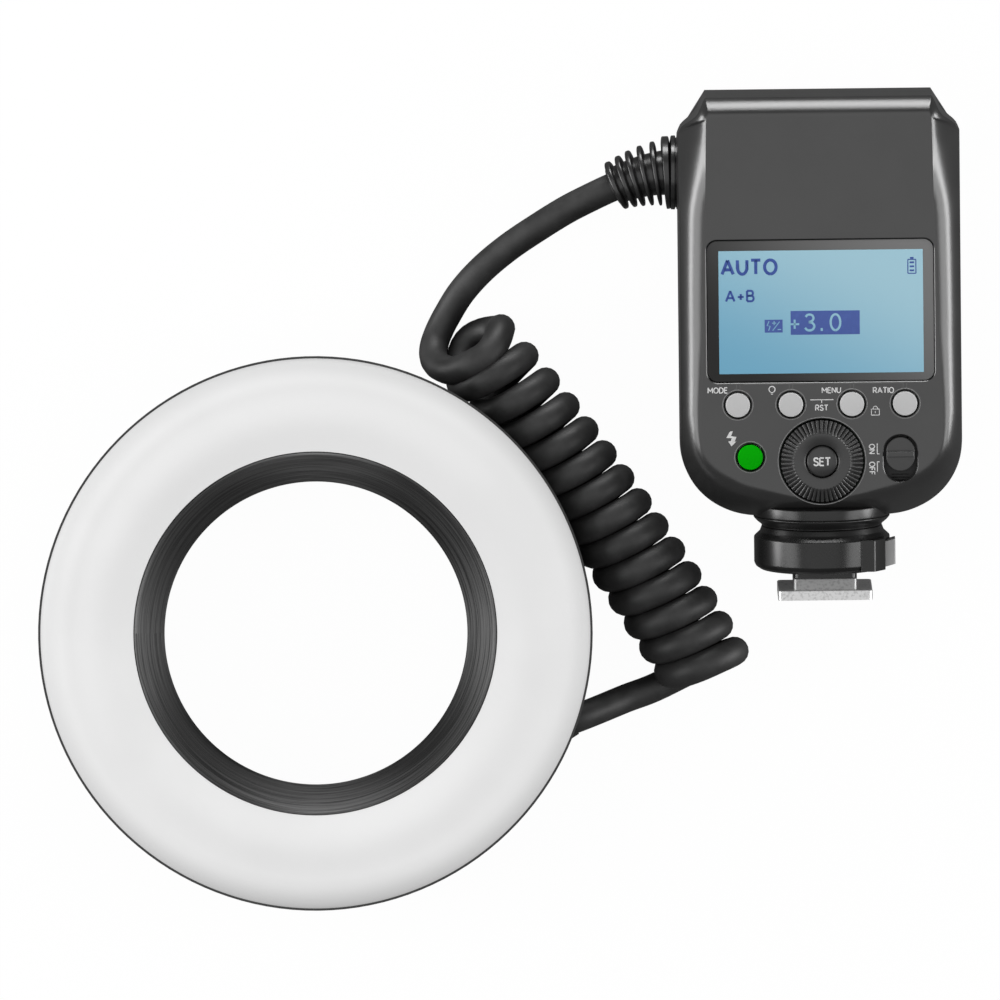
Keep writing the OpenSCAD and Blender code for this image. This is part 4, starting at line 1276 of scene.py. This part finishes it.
@dataclass
class FrontCover(Assembly):
    """Front half of the control unit: a flat face whose edge rolls down to the parting line."""

    half_w: float = 28.3
    height: float = 85.2
    corner: float = 15.0
    parting: float = -13.0
    wall: float = 1.8
    draft: float = 0.3
    foot_r: float = 8.1
    window: Triple = (45.5, 28.7, 2.1)
    window_v: float = 42.3
    button_v: float = 23.5
    button_u: tuple[float, ...] = (-16.7, -6.1, 6.1, 16.7)
    button_r: float = 2.75
    test: Triple = (-14.3, 13.0, 2.85)
    dial: Triple = (0.0, 12.1, 8.5)
    slot: tuple[float, float, float, float] = (15.7, 12.45, 6.8, 9.5)
    face_edge: tuple[Pair, ...] = (
        (0, 4.5), (13.3, 7.2), (18.0, 9.2), (21.6, 11.7), (23.7, 15.0), (24.1, 19.0), (23.85, 23.0),
        (23.5, 29.0), (23.3, 37.0), (23.2, 45.0))
    bends: tuple[float, ...] = (0.3, 0.36, 0.34, 0.39, 0.43, 0.53, 0.62, 0.62, 0.6, 0.6)
    edge_top: Pair = (22.5, 81.3)
    shoulder: tuple[Pair, ...] = (
        (0.0, 8.2), (0.3, 7.4), (0.8, 6.4), (1.4, 5.8), (2.8, 4.6), (3.8, 3.4), (4.4, 2.2),
        (5.0, 1.0), (5.6, 0.0))
    rise_v: Pair = (26.0, 40.0)
    crease_v: Pair = (63.0, 75.0)
    ends_v: Pair = (74.0, 80.0)
    half_tilts: Pair = (38.0, 52.0)
    first_tilts: Triple = (3.0, 9.0, 32.0)
    last_tilts: Pair = (64.0, 6.0)
    flats: tuple[float, ...] = (0.11, 0.1, 0.1, -0.15)
    bend_moves: Pair = (-0.3, -0.18)
    edge_on: Pair = (23.0, 60.0)
    edge_r: float = 0.8
    top_from: float = 0.7
    top_run: float = 0.6
    overlap: float = 0.2
    chamfers: Pair = (0.15, 0.12)
    foot_span: Pair = (-3.0, 4.0)
    sharp: float = 14.0
    arc_parts: tuple[float, ...] = (0.0, 0.28, 0.5, 0.72, 0.97)
    side_parts: tuple[float, ...] = (5.4, 12.0, 21.0, 30.0)
    per_span: int = 10
    side_steps: int = 14
    bend_steps: int = 12
    roll_steps: int = 25

    def half_outline(self) -> Array:
        """Right half of the parting line: a quarter circle at the foot end, a straight side and a
        smooth shoulder at the top.

        Returns:
            Points (u, v) from the middle of the foot end to the middle of the top.
        """
        a = np.linspace(0, np.pi / 2, 40)
        low = np.stack([self.half_w - self.corner + self.corner * np.sin(a),
                        self.corner - self.corner * np.cos(a)], -1)
        bend = np.array([(self.half_w - i, self.height - d) for i, d in self.shoulder])
        bend = smooth_line(bend, 5)
        return np.concatenate([[[0, 0]], low, bend, [[0, self.height]]])

    def half_pairs(self) -> tuple[Array, Array]:
        """Right halves of the face's edge and of the parting line, point for point.

        Each corner of the face's edge has its place along the parting line, and the points between
        two corners are shared out evenly on both.

        Returns:
            The two lines, as points (u, v).
        """
        outline = self.half_outline()
        way = np.concatenate([[0], np.cumsum(gaps(outline))])
        top_u, top_v = self.edge_top
        r, per, on_side, on_bend = self.edge_r, self.per_span, self.side_steps, self.bend_steps
        next_u, next_v = self.face_edge[1]
        first = smooth_line([(-next_u, next_v), *self.face_edge, self.edge_on], per)[per:-per]
        side = np.linspace(first[-1], (top_u, top_v - r), on_side)[1:]
        turn = np.linspace(0, np.pi / 2, on_bend)[1:]
        bend = ellipse(turn, (top_u - r, top_v - r), r, r)
        top = np.linspace(bend[-1], (0, top_v), on_bend)[1:]
        straight = self.half_w - self.corner
        arc = self.corner * np.pi / 2
        knots = [0, *(straight + arc * np.array(self.arc_parts)),
                 *(straight + arc + np.array(self.side_parts))]
        places = np.interp(np.arange(len(first)) / per, np.arange(len(knots)), knots)
        upper = straight + arc + self.height - self.corner - self.shoulder[0][1]
        end = way[-1] - (self.half_w - self.shoulder[-1][0])
        places = np.concatenate([places, np.linspace(places[-1], upper, on_side)[1:],
                                 np.linspace(upper, end, on_bend)[1:],
                                 np.linspace(end, way[-1], on_bend)[1:]])
        outer = np.stack([np.interp(places, way, outline[:, k]) for k in range(2)], -1)
        return np.concatenate([first, side, bend, top]), outer

    def rings(self) -> tuple[Array, ...]:
        """What the roll starts and ends on, and how it bends at each point of the loop.

        Returns:
            The whole face edge and parting line, and at each point the roll's first tilt, the share
            of its width where it is half upright, half the share that is nearly so, and its last
            tilt.
        """
        inner, outer = self.half_pairs()
        bends = np.interp(np.arange(len(inner)) / self.per_span, np.arange(len(self.bends)), self.bends)
        mirror = np.array([-1.0, 1.0])
        inner = np.concatenate([inner, (inner * mirror)[-2:0:-1]])
        outer = np.concatenate([outer, (outer * mirror)[-2:0:-1]])
        bends = np.concatenate([bends, bends[-2:0:-1]])
        v = inner[:, 1]
        top = np.clip((v - self.edge_top[1] + self.top_from) / self.top_run, 0, 1)
        rise, crease = (ease(v, *span) * (1 - top) for span in (self.rise_v, self.crease_v))
        start, stop = self.ends_v
        ends = np.clip((v - start) / (stop - start), 0, 1) * (1 - top)
        all_round = np.ones_like(v)
        return (inner, outer, np.dot(self.first_tilts, [all_round, rise, crease]),
                bends + np.dot(self.bend_moves, [crease, ends]),
                np.dot(self.flats, [all_round, top, crease, ends]),
                np.dot(self.last_tilts, [all_round, top]))

    def loft(self) -> Patchwork:
        """The shell: from the face's edge a roll whose tilt grows steadily, then a nearly upright
        wall to the parting line. The inside is the same section moved in by the wall, and it never
        turns back under the face.

        Returns:
            The patchwork, in the unit's frame.
        """
        inner, outer, first_tilt, bends, flats, last_tilt = self.rings()
        reach = outer - inner
        far = np.linalg.norm(reach, axis=1)
        out = reach / far[:, None]
        run = far - self.draft
        q = np.linspace(0, 1, self.roll_steps + 1)[:, None]
        middle = (q[1:] + q[:-1]) / 2
        near, beyond = bends - flats, bends + flats
        half, more = self.half_tilts
        tilt = first_tilt + (half - first_tilt) * np.minimum(middle / near, 1.0)
        tilt = tilt + (more - half) * np.clip((middle - near) / (beyond - near), 0, 1)
        tilt = tilt + (last_tilt - more) * np.clip((middle - beyond) / (1 - beyond), 0, 1)
        slope = np.tan(np.radians(tilt))
        down = -np.vstack([0 * far, np.cumsum(slope * run / self.roll_steps, axis=0)])
        across = run * q
        mid = (down[-1] + self.parting) / 2
        across = np.vstack([0 * far - self.overlap, across, far - self.draft / 2, far])
        down = np.vstack([0 * far, down, mid, self.parting + 0 * far])
        da, dd = np.gradient(across, axis=0), np.gradient(down, axis=0)
        da[0], dd[0] = 1.0, 0.0
        size = np.hypot(da, dd)
        rows = np.arange(len(across))[:, None]
        back_a = np.maximum(across + self.wall * dd / size, 0.01 * rows - self.overlap)
        back_d = np.minimum(down - self.wall * da / size, -0.002 * rows - self.wall)
        back_d[-1] = self.parting

        def solid(a: Array, d: Array) -> Array:
            """Points of a section that is carried round the loop."""
            flat = inner[None] + a[:, :, None] * out[None]
            return np.concatenate([flat, d[:, :, None]], -1)

        return Patchwork().tube(np.concatenate([solid(back_a, back_d), solid(across, down)[::-1]]))

    def build(self) -> None:
        """Makes the shell and cuts the window, the control holes and the foot's hole."""
        piece = self.loft().piece("front_cover", UNIT)
        slot_u, slot_v, wide, tall = self.slot
        broad, fine = self.chamfers
        holes = [(round_box(*self.window, (0, self.window_v)), broad),
                 (circle(self.test[2], self.test[:2]), fine),
                 (circle(self.dial[2], self.dial[:2], 96), fine),
                 (round_box(wide, tall, wide / 2 - 0.01, (slot_u, slot_v), 16), broad),
                 *((circle(self.button_r, (u, self.button_v)), fine) for u in self.button_u)]
        cutters = [hole(f"hole_{i}", *shape) for i, shape in enumerate(holes)]
        plug = bore(self.foot_r, *self.foot_span, 64)
        cutters.append(plug.piece("hole_foot", foot_place(self.parting)))
        cut(piece, cutters, self.sharp)
        self.dress(piece, "body_plastic", "front_shell")


def ribbon(points: Sequence[Pair], width: float) -> Array:
    """Outline of a stroke: a line moved by half a width to its right, and back on its left.

    Args:
        points: the stroke's middle line.
        width: its width.
    Returns:
        Points (u, v), walked to the left.
    """
    line = np.asarray(points, float)
    way = np.gradient(line, axis=0)
    side = unit(np.stack([-way[:, 1], way[:, 0]], -1))
    return np.concatenate([line - side * width / 2, (line + side * width / 2)[::-1]])


def oval(wide: float, steps: int = 28) -> list[Pair]:
    """Closed oval of height one, for round letters."""
    a = np.linspace(0, 2 * np.pi, steps)
    return list(zip(wide / 2 + wide / 2 * np.sin(a), 0.5 - 0.5 * np.cos(a)))


def bowl(wide: float, low: float, high: float) -> list[Pair]:
    """The bow of a B, D or R: half an ellipse between two straight strokes.

    Args:
        wide: how far it reaches from the stem.
        low, high: its ends on the stem, with a letter's height as one.
    Returns:
        Points from its upper end to its lower end.
    """
    r = (high - low) / 2
    a = np.linspace(np.pi / 2, -np.pi / 2, 12)
    bow = zip(wide - r * 0.85 + r * 0.85 * np.cos(a), (low + high) / 2 + r * np.sin(a))
    return [(0, high), *bow, (0, low)]


STEM = [(0, 0), (0, 1)]
LETTERS: dict[str, tuple[float, list[list[Pair]]]] = {
    "A": (0.8, [[(0, 0), (0.4, 1)], [(0.4, 1), (0.8, 0)], [(0.15, 0.32), (0.65, 0.32)]]),
    "B": (0.62, [STEM, bowl(0.56, 0.53, 1), bowl(0.62, 0, 0.53)]),
    "D": (0.72, [STEM, bowl(0.72, 0, 1)]),
    "E": (0.54, [STEM, [(0, 1), (0.54, 1)], [(0, 0.52), (0.48, 0.52)], [(0, 0), (0.54, 0)]]),
    "F": (0.52, [STEM, [(0, 1), (0.52, 1)], [(0, 0.5), (0.46, 0.5)]]),
    "I": (0.0, [STEM]),
    "M": (0.86, [STEM, [(0, 1), (0.43, 0.3)], [(0.43, 0.3), (0.86, 1)], [(0.86, 1), (0.86, 0)]]),
    "N": (0.7, [STEM, [(0, 1), (0.7, 0)], [(0.7, 0), (0.7, 1)]]),
    "O": (0.82, [oval(0.82)]),
    "R": (0.62, [STEM, bowl(0.6, 0.46, 1), [(0.3, 0.46), (0.62, 0)]]),
    "S": (0.58, [smooth_line([(0.56, 0.8), (0.45, 0.95), (0.28, 1), (0.1, 0.93), (0.03, 0.76), (0.1, 0.6),
                              (0.29, 0.51), (0.48, 0.41), (0.57, 0.25), (0.5, 0.07), (0.3, 0), (0.12, 0.05),
                              (0, 0.2)], 3).tolist()]),
    "T": (0.66, [[(0, 1), (0.66, 1)], [(0.33, 1), (0.33, 0)]]),
    "U": (0.68, [[(0, 1), (0, 0.36), *oval(0.68)[21:28], *oval(0.68)[1:8], (0.68, 0.36), (0.68, 1)]]),
    "3": (0.58, [smooth_line([(0.04, 0.85), (0.15, 0.97), (0.29, 1), (0.45, 0.95), (0.53, 0.78), (0.45, 0.6),
                              (0.24, 0.53)], 3).tolist(),
                 smooth_line([(0.24, 0.53), (0.47, 0.46), (0.58, 0.27), (0.49, 0.07), (0.29, 0), (0.12, 0.04),
                              (0, 0.17)], 3).tolist()]),
    "0": (0.6, [oval(0.6)]),
    ".": (0.08, [[(0.04, -0.04), (0.04, 0.14)]]),
    "+": (0.56, [[(0, 0.42), (0.56, 0.42)], [(0.28, 0.7), (0.28, 0.14)]]),
}


@dataclass
class Print:
    """Several flat marks on the unit's face that become one thin piece."""

    name: str
    look: str
    level: float
    thick: float = 0.02
    made: Patchwork = field(default_factory=Patchwork)

    def mark(self, outline: Array) -> None:
        """Adds a mark with its outline walked to the left."""
        self.made.join(block(outline, self.level - self.thick, self.level, 0.004))

    def strokes(self, width: float, *lines: Sequence[Pair]) -> None:
        """Adds strokes of one width along lines."""
        for line in lines:
            self.mark(ribbon(line, width))

    def frame(self, left: float, low: float, right: float, high: float, width: float) -> None:
        """Adds the four sides of a rectangle."""
        self.strokes(width, *([(left, v), (right, v)] for v in (low, high)),
                     *([(u, low), (u, high)] for u in (left, right)))

    def word(self, letters: str, height: float, middle: Pair, weight: float,
             turn: float = 0.0, gap: float = 0.24) -> None:
        """Adds a word of stroked letters.

        Args:
            letters: the word.
            height: height of its capitals.
            middle: middle of the word.
            weight: width of its strokes.
            turn: turn of the word in degrees.
            gap: space between letters, as a share of the height.
        """
        widths = np.array([LETTERS[c][0] + gap for c in letters])
        starts = np.cumsum(widths) - widths - (widths.sum() - gap) / 2
        c, s = math.cos(math.radians(turn)), math.sin(math.radians(turn))
        for start, letter in zip(starts, letters):
            for line in LETTERS[letter][1]:
                flat = (np.array(line) + np.array([start, -0.5])) * height
                self.strokes(weight, flat @ np.array([[c, s], [-s, c]]) + np.array(middle))


@dataclass
class Display(Assembly):
    """Dark window with the lit panel and what it shows."""

    window: Triple = (45.2, 28.4, 2.0)
    window_v: float = 42.3
    top: float = -0.1
    thick: float = 1.2
    lit: Pair = (40.8, 24.7)
    lit_middle: Pair = (0.1, 42.1)

    def words(self) -> None:
        """Characters on the display: a mode word, a group line and a value in a dark box."""
        made = Print("display_words", "display_ink", self.top + 0.07)
        made.word("AUTO", 2.8, (-14.2, 51.2), 0.62, gap=0.3)
        made.word("A+B", 2.1, (-16.1, 45.4), 0.42, gap=0.32)
        self.lay(made, "display_panel")
        made = Print("display_value", "display_panel", self.top + 0.07)
        made.word("+", 3.3, (-5.2, 39.9), 0.4)
        for letter, u in (("3", -2.2), (".", 0.2), ("0", 2.95)):
            made.word(letter, 3.2, (u, 39.95), 0.45)
        self.lay(made, "display_panel")

    def icons(self) -> None:
        """Battery sign, the value's box and the small sign before it."""
        box = Print("display_boxes", "display_box", self.top + 0.055)
        box.mark(round_box(13.8, 4.8, 0.05, (0.9, 39.9), 3))
        box.mark(round_box(3.6, 2.6, 0.05, (-9.4, 39.3), 3))
        self.lay(box, "display_panel")
        sign = Print("display_sign", "display_panel", self.top + 0.075)
        sign.strokes(0.2, [(-10.3, 40.3), (-10.7, 39.4), (-10.1, 39.3), (-10.4, 38.4)])
        sign.strokes(0.18, [(-9.7, 39.9), (-8.9, 39.9)], [(-9.3, 40.3), (-9.3, 39.5)])
        sign.strokes(0.16, [(-9.6, 38.4), (-8.2, 40.2)])
        sign.strokes(0.18, [(-8.6, 38.6), (-7.9, 38.6)])
        self.lay(sign, "display_panel")
        cell = Print("display_battery", "display_ink", self.top + 0.055)
        cell.frame(17.5, 49.6, 19.1, 52.4, 0.2)
        cell.strokes(0.35, [(17.95, 52.7), (18.65, 52.7)])
        cell.strokes(0.34, *([(17.85, v), (18.75, v)] for v in (50.2, 51.0, 51.8)))
        self.lay(cell, "display_panel")

    def build(self) -> None:
        """Makes the window, the lit panel and its characters."""
        outline = round_box(*self.window, (0, self.window_v), 12)
        plate = block(outline, self.top - self.thick, self.top, 0.18)
        self.dress(plate.piece("window_plate", UNIT), "display_glass", "lcd_window")
        outline = round_box(*self.lit, 0.12, self.lit_middle, 4)
        lit = block(outline, self.top - 0.06, self.top + 0.04, 0.01)
        self.dress(lit.piece("lit_panel", UNIT), "display_panel")
        self.icons()
        self.words()


@dataclass(frozen=True)
class Key:
    """A round push button: its body, where it is, its radius and its slot."""

    body: Body
    u: float
    v: float
    radius: float
    slot: str


@dataclass
class Keys(Assembly):
    """The push buttons under the display."""

    low: float = -1.9
    top: float = 0.6
    crown: float = 0.05
    edge: float = 0.22
    keys: tuple[Key, ...] = (
        Key(Body.MODE, -16.7, 23.5, 2.42, "grey_button"), Key(Body.LAMP, -6.1, 23.5, 2.42, "grey_button"),
        Key(Body.MENU, 6.1, 23.5, 2.42, "grey_button"), Key(Body.RATIO, 16.7, 23.5, 2.42, "grey_button"),
        Key(Body.TEST, -14.3, 13.0, 2.48, "green_button"))

    def build(self) -> None:
        """Turns each cap, with a rounded rim and a faintly crowned top."""
        for key in self.keys:
            node = key.body.value
            rim = rounded([(0.02, self.low), (key.radius, self.low), (key.radius, self.top),
                           (0.02, self.top + self.crown)], self.edge, 6, closed=False)
            piece = turned(rim, 64, False).piece(node + "_cap", spot(key.u, key.v), smooth=50)
            self.dress(piece, key.slot, node, body=key.body)


@dataclass
class Dial(Assembly):
    """Ring with a ridged bevel, and the domed button in its middle."""

    middle: Pair = (0.0, 12.1)
    radius: float = 8.2
    hole: float = 3.35
    low: float = -1.4
    ridges: int = 54
    per_ridge: int = 14
    groove: float = 0.5
    side_groove: float = 0.12
    sharpness: int = 3
    groove_from: Pair = (5.5, 0.5)
    groove_grows: Pair = (4.6, 3.0)
    side_high: float = 0.2
    bevel: tuple[Pair, Pair] = ((8.2, 0.55), (5.75, 1.42))
    crest: tuple[Pair, ...] = ((5.6, 1.5), (5.35, 1.5), (5.0, 1.42), (3.7, 1.28), (3.35, 1.1))
    set_r: float = 3.15
    set_top: float = 1.4
    set_edge: float = 0.15
    set_fall: float = 0.55
    set_side: float = 0.75

    def build_ring(self) -> None:
        """Turns the ring's section and sinks a narrow groove between each two ridges of its
        bevel; the groove is a high power of a cosine of the angle.
        """
        section = np.concatenate([
            [(self.hole, self.low), (self.radius, self.low), (self.radius, self.side_high)],
            np.linspace(*self.bevel, 12), self.crest])
        steps = self.ridges * self.per_ridge
        angle = np.arange(steps) * (2 * np.pi / steps)
        r, w = section.T
        begin, full = (np.clip((r - start) / run, 0, 1) for start, run in
                       (self.groove_from, self.groove_grows))
        sink = begin * (w > 0.0) * full
        valley = (0.5 + 0.5 * np.cos(self.ridges * angle)) ** self.sharpness
        tall = w[:, None] - self.groove * sink[:, None] * valley
        wide = r[:, None] - self.side_groove * ((r == self.radius) & (w > 0.0))[:, None] * valley
        grid = np.stack([wide * np.cos(angle), wide * np.sin(angle), tall], -1)
        made = Patchwork()
        made.grid(grid, wrap_rows=True, wrap_cols=True)
        self.dress(made.piece("ridged_dial", spot(*self.middle), smooth=40), "dial_plastic", "dial",
                   body=Body.DIAL)

    def build_set(self) -> None:
        """Turns the domed button and lays its word on the dome."""
        r = np.linspace(self.set_r - self.set_edge, 0.02, 14)
        dome = np.stack([r, self.set_top - self.set_fall * (r / self.set_r) ** 2], -1)
        section = np.concatenate([[(0.02, self.low), (self.set_r, self.low),
                                   (self.set_r, self.set_top - self.set_side)], dome])
        piece = turned(section, 72, False).piece("set_dome", spot(*self.middle), smooth=50)
        self.dress(piece, "dial_plastic", "set_button", body=Body.SET)
        word = Print("set_word", "white_print", self.set_top + 0.02, 0.25)
        word.word("SET", 1.5, self.middle, 0.3, gap=0.2)
        self.lay(word, "dial_plastic", Body.SET)

    def build(self) -> None:
        """Makes both."""
        self.build_ring()
        self.build_set()


@dataclass
class PowerKnob(Assembly):
    """Sliding knob of the switch, with one finger ridge across it."""

    middle: Pair = (15.7, 13.25)
    size: Pair = (5.8, 7.0)
    low: float = -1.65
    top: float = -0.15
    ridge: Triple = (5.3, 1.1, 0.75)

    def build(self) -> None:
        """Makes the rounded plate and the ridge as one piece."""
        wide, tall = self.size
        plate = block(round_box(wide, tall, wide / 2 - 0.02, (0, 0), 18), self.low, self.top, 0.3)
        across, along, high = self.ridge
        bar = block(round_box(across, along, 0.15, (0, 0.05), 4), self.top - 0.4, high, 0.14)
        plate.join(bar)
        self.dress(plate.piece("switch_knob", spot(*self.middle)), "dial_plastic", "power_knob",
                   body=Body.KNOB)


@dataclass
class Marks(Assembly):
    """Words and signs printed on the face, and the fine lines scored under the window."""

    level: float = 0.02
    words: tuple[tuple[str, float, float, float], ...] = (
        ("MODE", -20.7, 26.5, 0), ("MENU", 2.0, 26.3, 0), ("RATIO", 12.4, 26.2, 0),
        ("RST", 0.05, 22.8, 0), ("ON", 10.0, 14.4, -90), ("OFF", 10.0, 10.5, -90))
    bolt: tuple[Pair, ...] = (
        (-0.26, 1.47), (-1.03, 0.21), (0.09, 0.12), (-0.15, -0.47), (-0.65, -0.5), (0.0, -1.5),
        (0.97, -0.59), (0.62, -0.59), (1.03, 0.38), (-0.06, 0.53), (0.29, 1.53))

    def signs(self) -> None:
        """Bolt, bulb, lock and the switch's corner marks in white."""
        made = Print("face_signs", "white_print", self.level)
        made.mark(np.array(self.bolt) + np.array([-18.05, 16.75]))
        a = np.radians(np.linspace(-60, 240, 40))
        made.strokes(0.2, ellipse(a, (-9.85, 26.6), 0.6, 0.6))
        made.strokes(0.16, [(-10.15, 25.95), (-9.55, 25.95)], [(-10.05, 25.65), (-9.65, 25.65)])
        a = np.radians(np.linspace(0, 180, 16))
        made.strokes(0.13, ellipse(a, (10.75, 22.45), 0.45, 0.55))
        made.frame(9.95, 21.2, 11.55, 22.4, 0.13)
        made.strokes(0.16, [(10.75, 21.6), (10.75, 22.0)], [(-2.2, 24.4), (2.4, 24.4)],
                     [(0.05, 24.4), (0.05, 23.75)])
        made.strokes(0.17, [(11.05, 15.5), (11.05, 13.4)], [(11.0, 13.4), (11.5, 13.4)],
                     [(11.0, 11.8), (11.5, 11.8)], [(11.05, 11.8), (11.05, 9.8)])
        self.lay(made)

    def scores(self) -> None:
        """One fine line under the window with a small fork above each button."""
        made = Print("face_scores", "score_line", self.level - 0.01)
        made.strokes(0.1, [(-15.5, 27.62), (16.5, 27.62)])
        for u in (-16.6, -6.05, 6.1, 16.7):
            made.strokes(0.12, *([(u + side, 27.6), (u + side, 26.7)] for side in (-0.35, 0.35)))
        self.lay(made)

    def build(self) -> None:
        """Makes the words, the signs and the lines."""
        made = Print("face_words", "white_print", self.level)
        for letters, u, v, turn in self.words:
            made.word(letters, 1.05, (u, v), 0.2, turn)
        self.lay(made)
        self.signs()
        self.scores()


@dataclass
class SwitchWell(Assembly):
    """Floor under the sliding knob, of body plastic painted near-black as the shade in the slot."""

    middle: Pair = (15.7, 12.45)
    size: Pair = (8.0, 10.7)
    low: float = -2.0
    top: float = -1.75
    ribs: tuple[Pair, ...] = ((-4.6, 2.6), (-4.0, 3.6), (-3.4, 3.6), (4.0, 3.6), (4.6, 2.6))

    def build(self) -> None:
        """Makes the floor with a few cross ribs at its ends."""
        wide, tall = self.size
        u, v = self.middle
        # painted shade: the floor and its ribs take the near-black look
        made = Print("switch_well", "painted_shade_well", self.top, self.top - self.low)
        made.mark(round_box(wide, tall, wide / 2 - 0.02, self.middle, 16))
        for step, across in self.ribs:
            made.mark(round_box(across, 0.25, 0.1, (u, v + step), 3))
        self.lay(made)


@dataclass
class HoleRims(Assembly):
    """Fine raised lips round the control holes, in a light grey that paints the highlight along their edges.
    """

    lips: tuple[Triple, ...] = (
        (-16.7, 23.5, 3.02), (-6.1, 23.5, 3.02), (6.1, 23.5, 3.02), (16.7, 23.5, 3.02),
        (-14.3, 13.0, 3.12), (0.0, 12.1, 8.76))
    width: float = 0.2
    high: float = 0.08

    def build(self) -> None:
        """Turns a half-round lip round each hole and joins them."""
        a = np.linspace(0, np.pi, 9)
        made = Patchwork()
        for u, v, r in self.lips:
            section = ellipse(a, (r, -0.02), self.width / 2, self.high)
            section = np.concatenate([section, [(r - self.width / 2, -0.1), (r + self.width / 2, -0.1)]])
            made.join(turned(section, 96, True), (u, v, 0))
        # body plastic with a light grey look: a painted highlight
        self.dress(made.piece("hole_rims", UNIT, smooth=60), "body_plastic", look="painted_highlight_lip")


@dataclass
class Foot(Assembly):
    """Boss, flange, locking collar with its thumb block and tab, and shoe plate under the unit."""

    depth: float = -13.0
    steps: int = 144
    boss: tuple[Pair, ...] = ((9.4, -0.14), (13.65, -0.14), (13.65, 2.1), (9.4, 2.5))
    flange: tuple[Pair, ...] = (
        (5.4, -2.1), (12.1, -2.1), (12.1, -1.9), (13.1, -1.1), (13.65, -0.45), (13.65, -0.16),
        (5.4, -0.16))
    collar: tuple[Pair, ...] = (
        (5.9, -10.95), (12.3, -10.95), (13.3, -10.25), (13.6, -9.55), (13.6, -4.42), (12.45, -3.35),
        (12.05, -2.3), (11.8, -2.2), (5.9, -2.2))
    thumb: tuple[float, float, float, float] = (7.6, 12.6, 3.6, 11.4)
    thumb_cut: Pair = (3.4, 2.2)
    thumb_low: float = -10.55
    thumb_high: float = -4.15
    neck: tuple[float, ...] = (16.2, 12.7, 1.5, -13.0, -11.05, 0.1)
    raised: tuple[float, ...] = (16.8, 12.7, 0.8, -14.6, -12.1, 0.3)
    plate: tuple[float, ...] = (18.0, 18.9, 0.9, -16.5, -14.5, 0.25)
    aside: Pair = (0.0, 0.5)
    pin_w: float = -6.5
    pin_r: float = 1.35
    pin_span: Pair = (-18.0, -11.5)
    tab: tuple[float, float, float, float] = (1.0, 5.2, 11.6, 14.65)
    tab_low: float = -10.35
    tab_high: float = -5.2
    tab_rise: float = 0.28
    tab_level: float = 0.95

    def turn(self, name: str, section: Sequence[Pair], soft: float, *replaced: str) -> None:
        """Turns a fixed dark piece round the foot's axis, from a section with soft corners."""
        made = turned(rounded(section, soft, 5), self.steps, True)
        self.dress(made.piece(name, foot_place(self.depth), smooth=40), "collar_plastic", *replaced)

    def build_fixed(self) -> None:
        """The boss that the cover stands on and the flange that narrows below it."""
        self.turn("foot_boss", self.boss, 0.3)
        self.turn("turned_flange", self.flange, 0.35, "foot_flange")

    def slab(self, name: str, deep: float, wide: float, corner: float, low: float, high: float,
             edge: float) -> bpy.types.Object:
        """A plate square to the foot's axis, with round corners and a rounded upper rim."""
        made = block(round_box(deep, wide, corner, self.aside), low, high, edge)
        return made.piece(name, foot_place(self.depth))

    def build_plate(self) -> None:
        """Dark neck, metal block and bright shoe plate."""
        self.dress(self.slab("foot_neck", *self.neck), "collar_plastic")
        raised = self.slab("foot_block", *self.raised)
        plate = self.slab("shoe_plate", *self.plate)
        for piece in (raised, plate):
            plug = bore(self.pin_r, *self.pin_span, 48).piece("pin_bore", foot_place(self.pin_w))
            cut(piece, [plug], 35.0)
        self.dress(raised, "foot_metal", look="foot_block")
        self.dress(plate, "foot_metal", "foot_plate")

    def build_collar(self) -> None:
        """Turns the collar with a soft upper edge and joins its thumb block."""
        made = turned(rounded(self.collar, 0.2, 5), self.steps, True)
        near, far, back, front = self.thumb
        along, across = self.thumb_cut
        outline = np.array([(back, near), (front, near), (front, far - across), (front - along, far),
                            (back, far)])
        made.join(block(rounded(outline, 0.4, 5), self.thumb_low, self.thumb_high, 0.3))
        self.dress(made.piece("collar_ring", foot_place(self.depth), smooth=40), "collar_plastic",
                   "lock_collar", body=Body.COLLAR)

    def build_tab(self) -> None:
        """The collar's grey release tab, whose top and bottom rise outwards."""
        back, front, near, far = self.tab
        outline = np.array([(back, near), (front, near), (front, far), (back, far)])
        made = block(rounded(outline, 0.3, 5), self.tab_low, self.tab_high, 0.15)
        made.points = [p + np.outer(p[:, 1] - near - self.tab_level, (0, 0, self.tab_rise))
                       for p in made.points]
        self.dress(made.piece("release_tab", foot_place(self.depth)), "release_plastic",
                   "collar_release", body=Body.RELEASE)

    def build(self) -> None:
        """Makes all of them."""
        self.build_fixed()
        self.build_collar()
        self.build_tab()
        self.build_plate()


# Making


def main() -> None:
    """Loads the frame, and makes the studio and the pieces."""
    logging.basicConfig(level=logging.INFO)
    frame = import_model()
    finishes = Finishes()
    finishes.dress_nodes(frame)
    studio = Studio()
    studio.camera()
    for kind in (CurlyCord, Boot, RingHead, FrontCover, Display, Keys, Dial, SwitchWell, PowerKnob,
                 HoleRims, Marks, Foot):
        kind(finishes).build()
    studio.lights()
    studio.floor()
    studio.world()


if __name__ == "__main__":
    main()
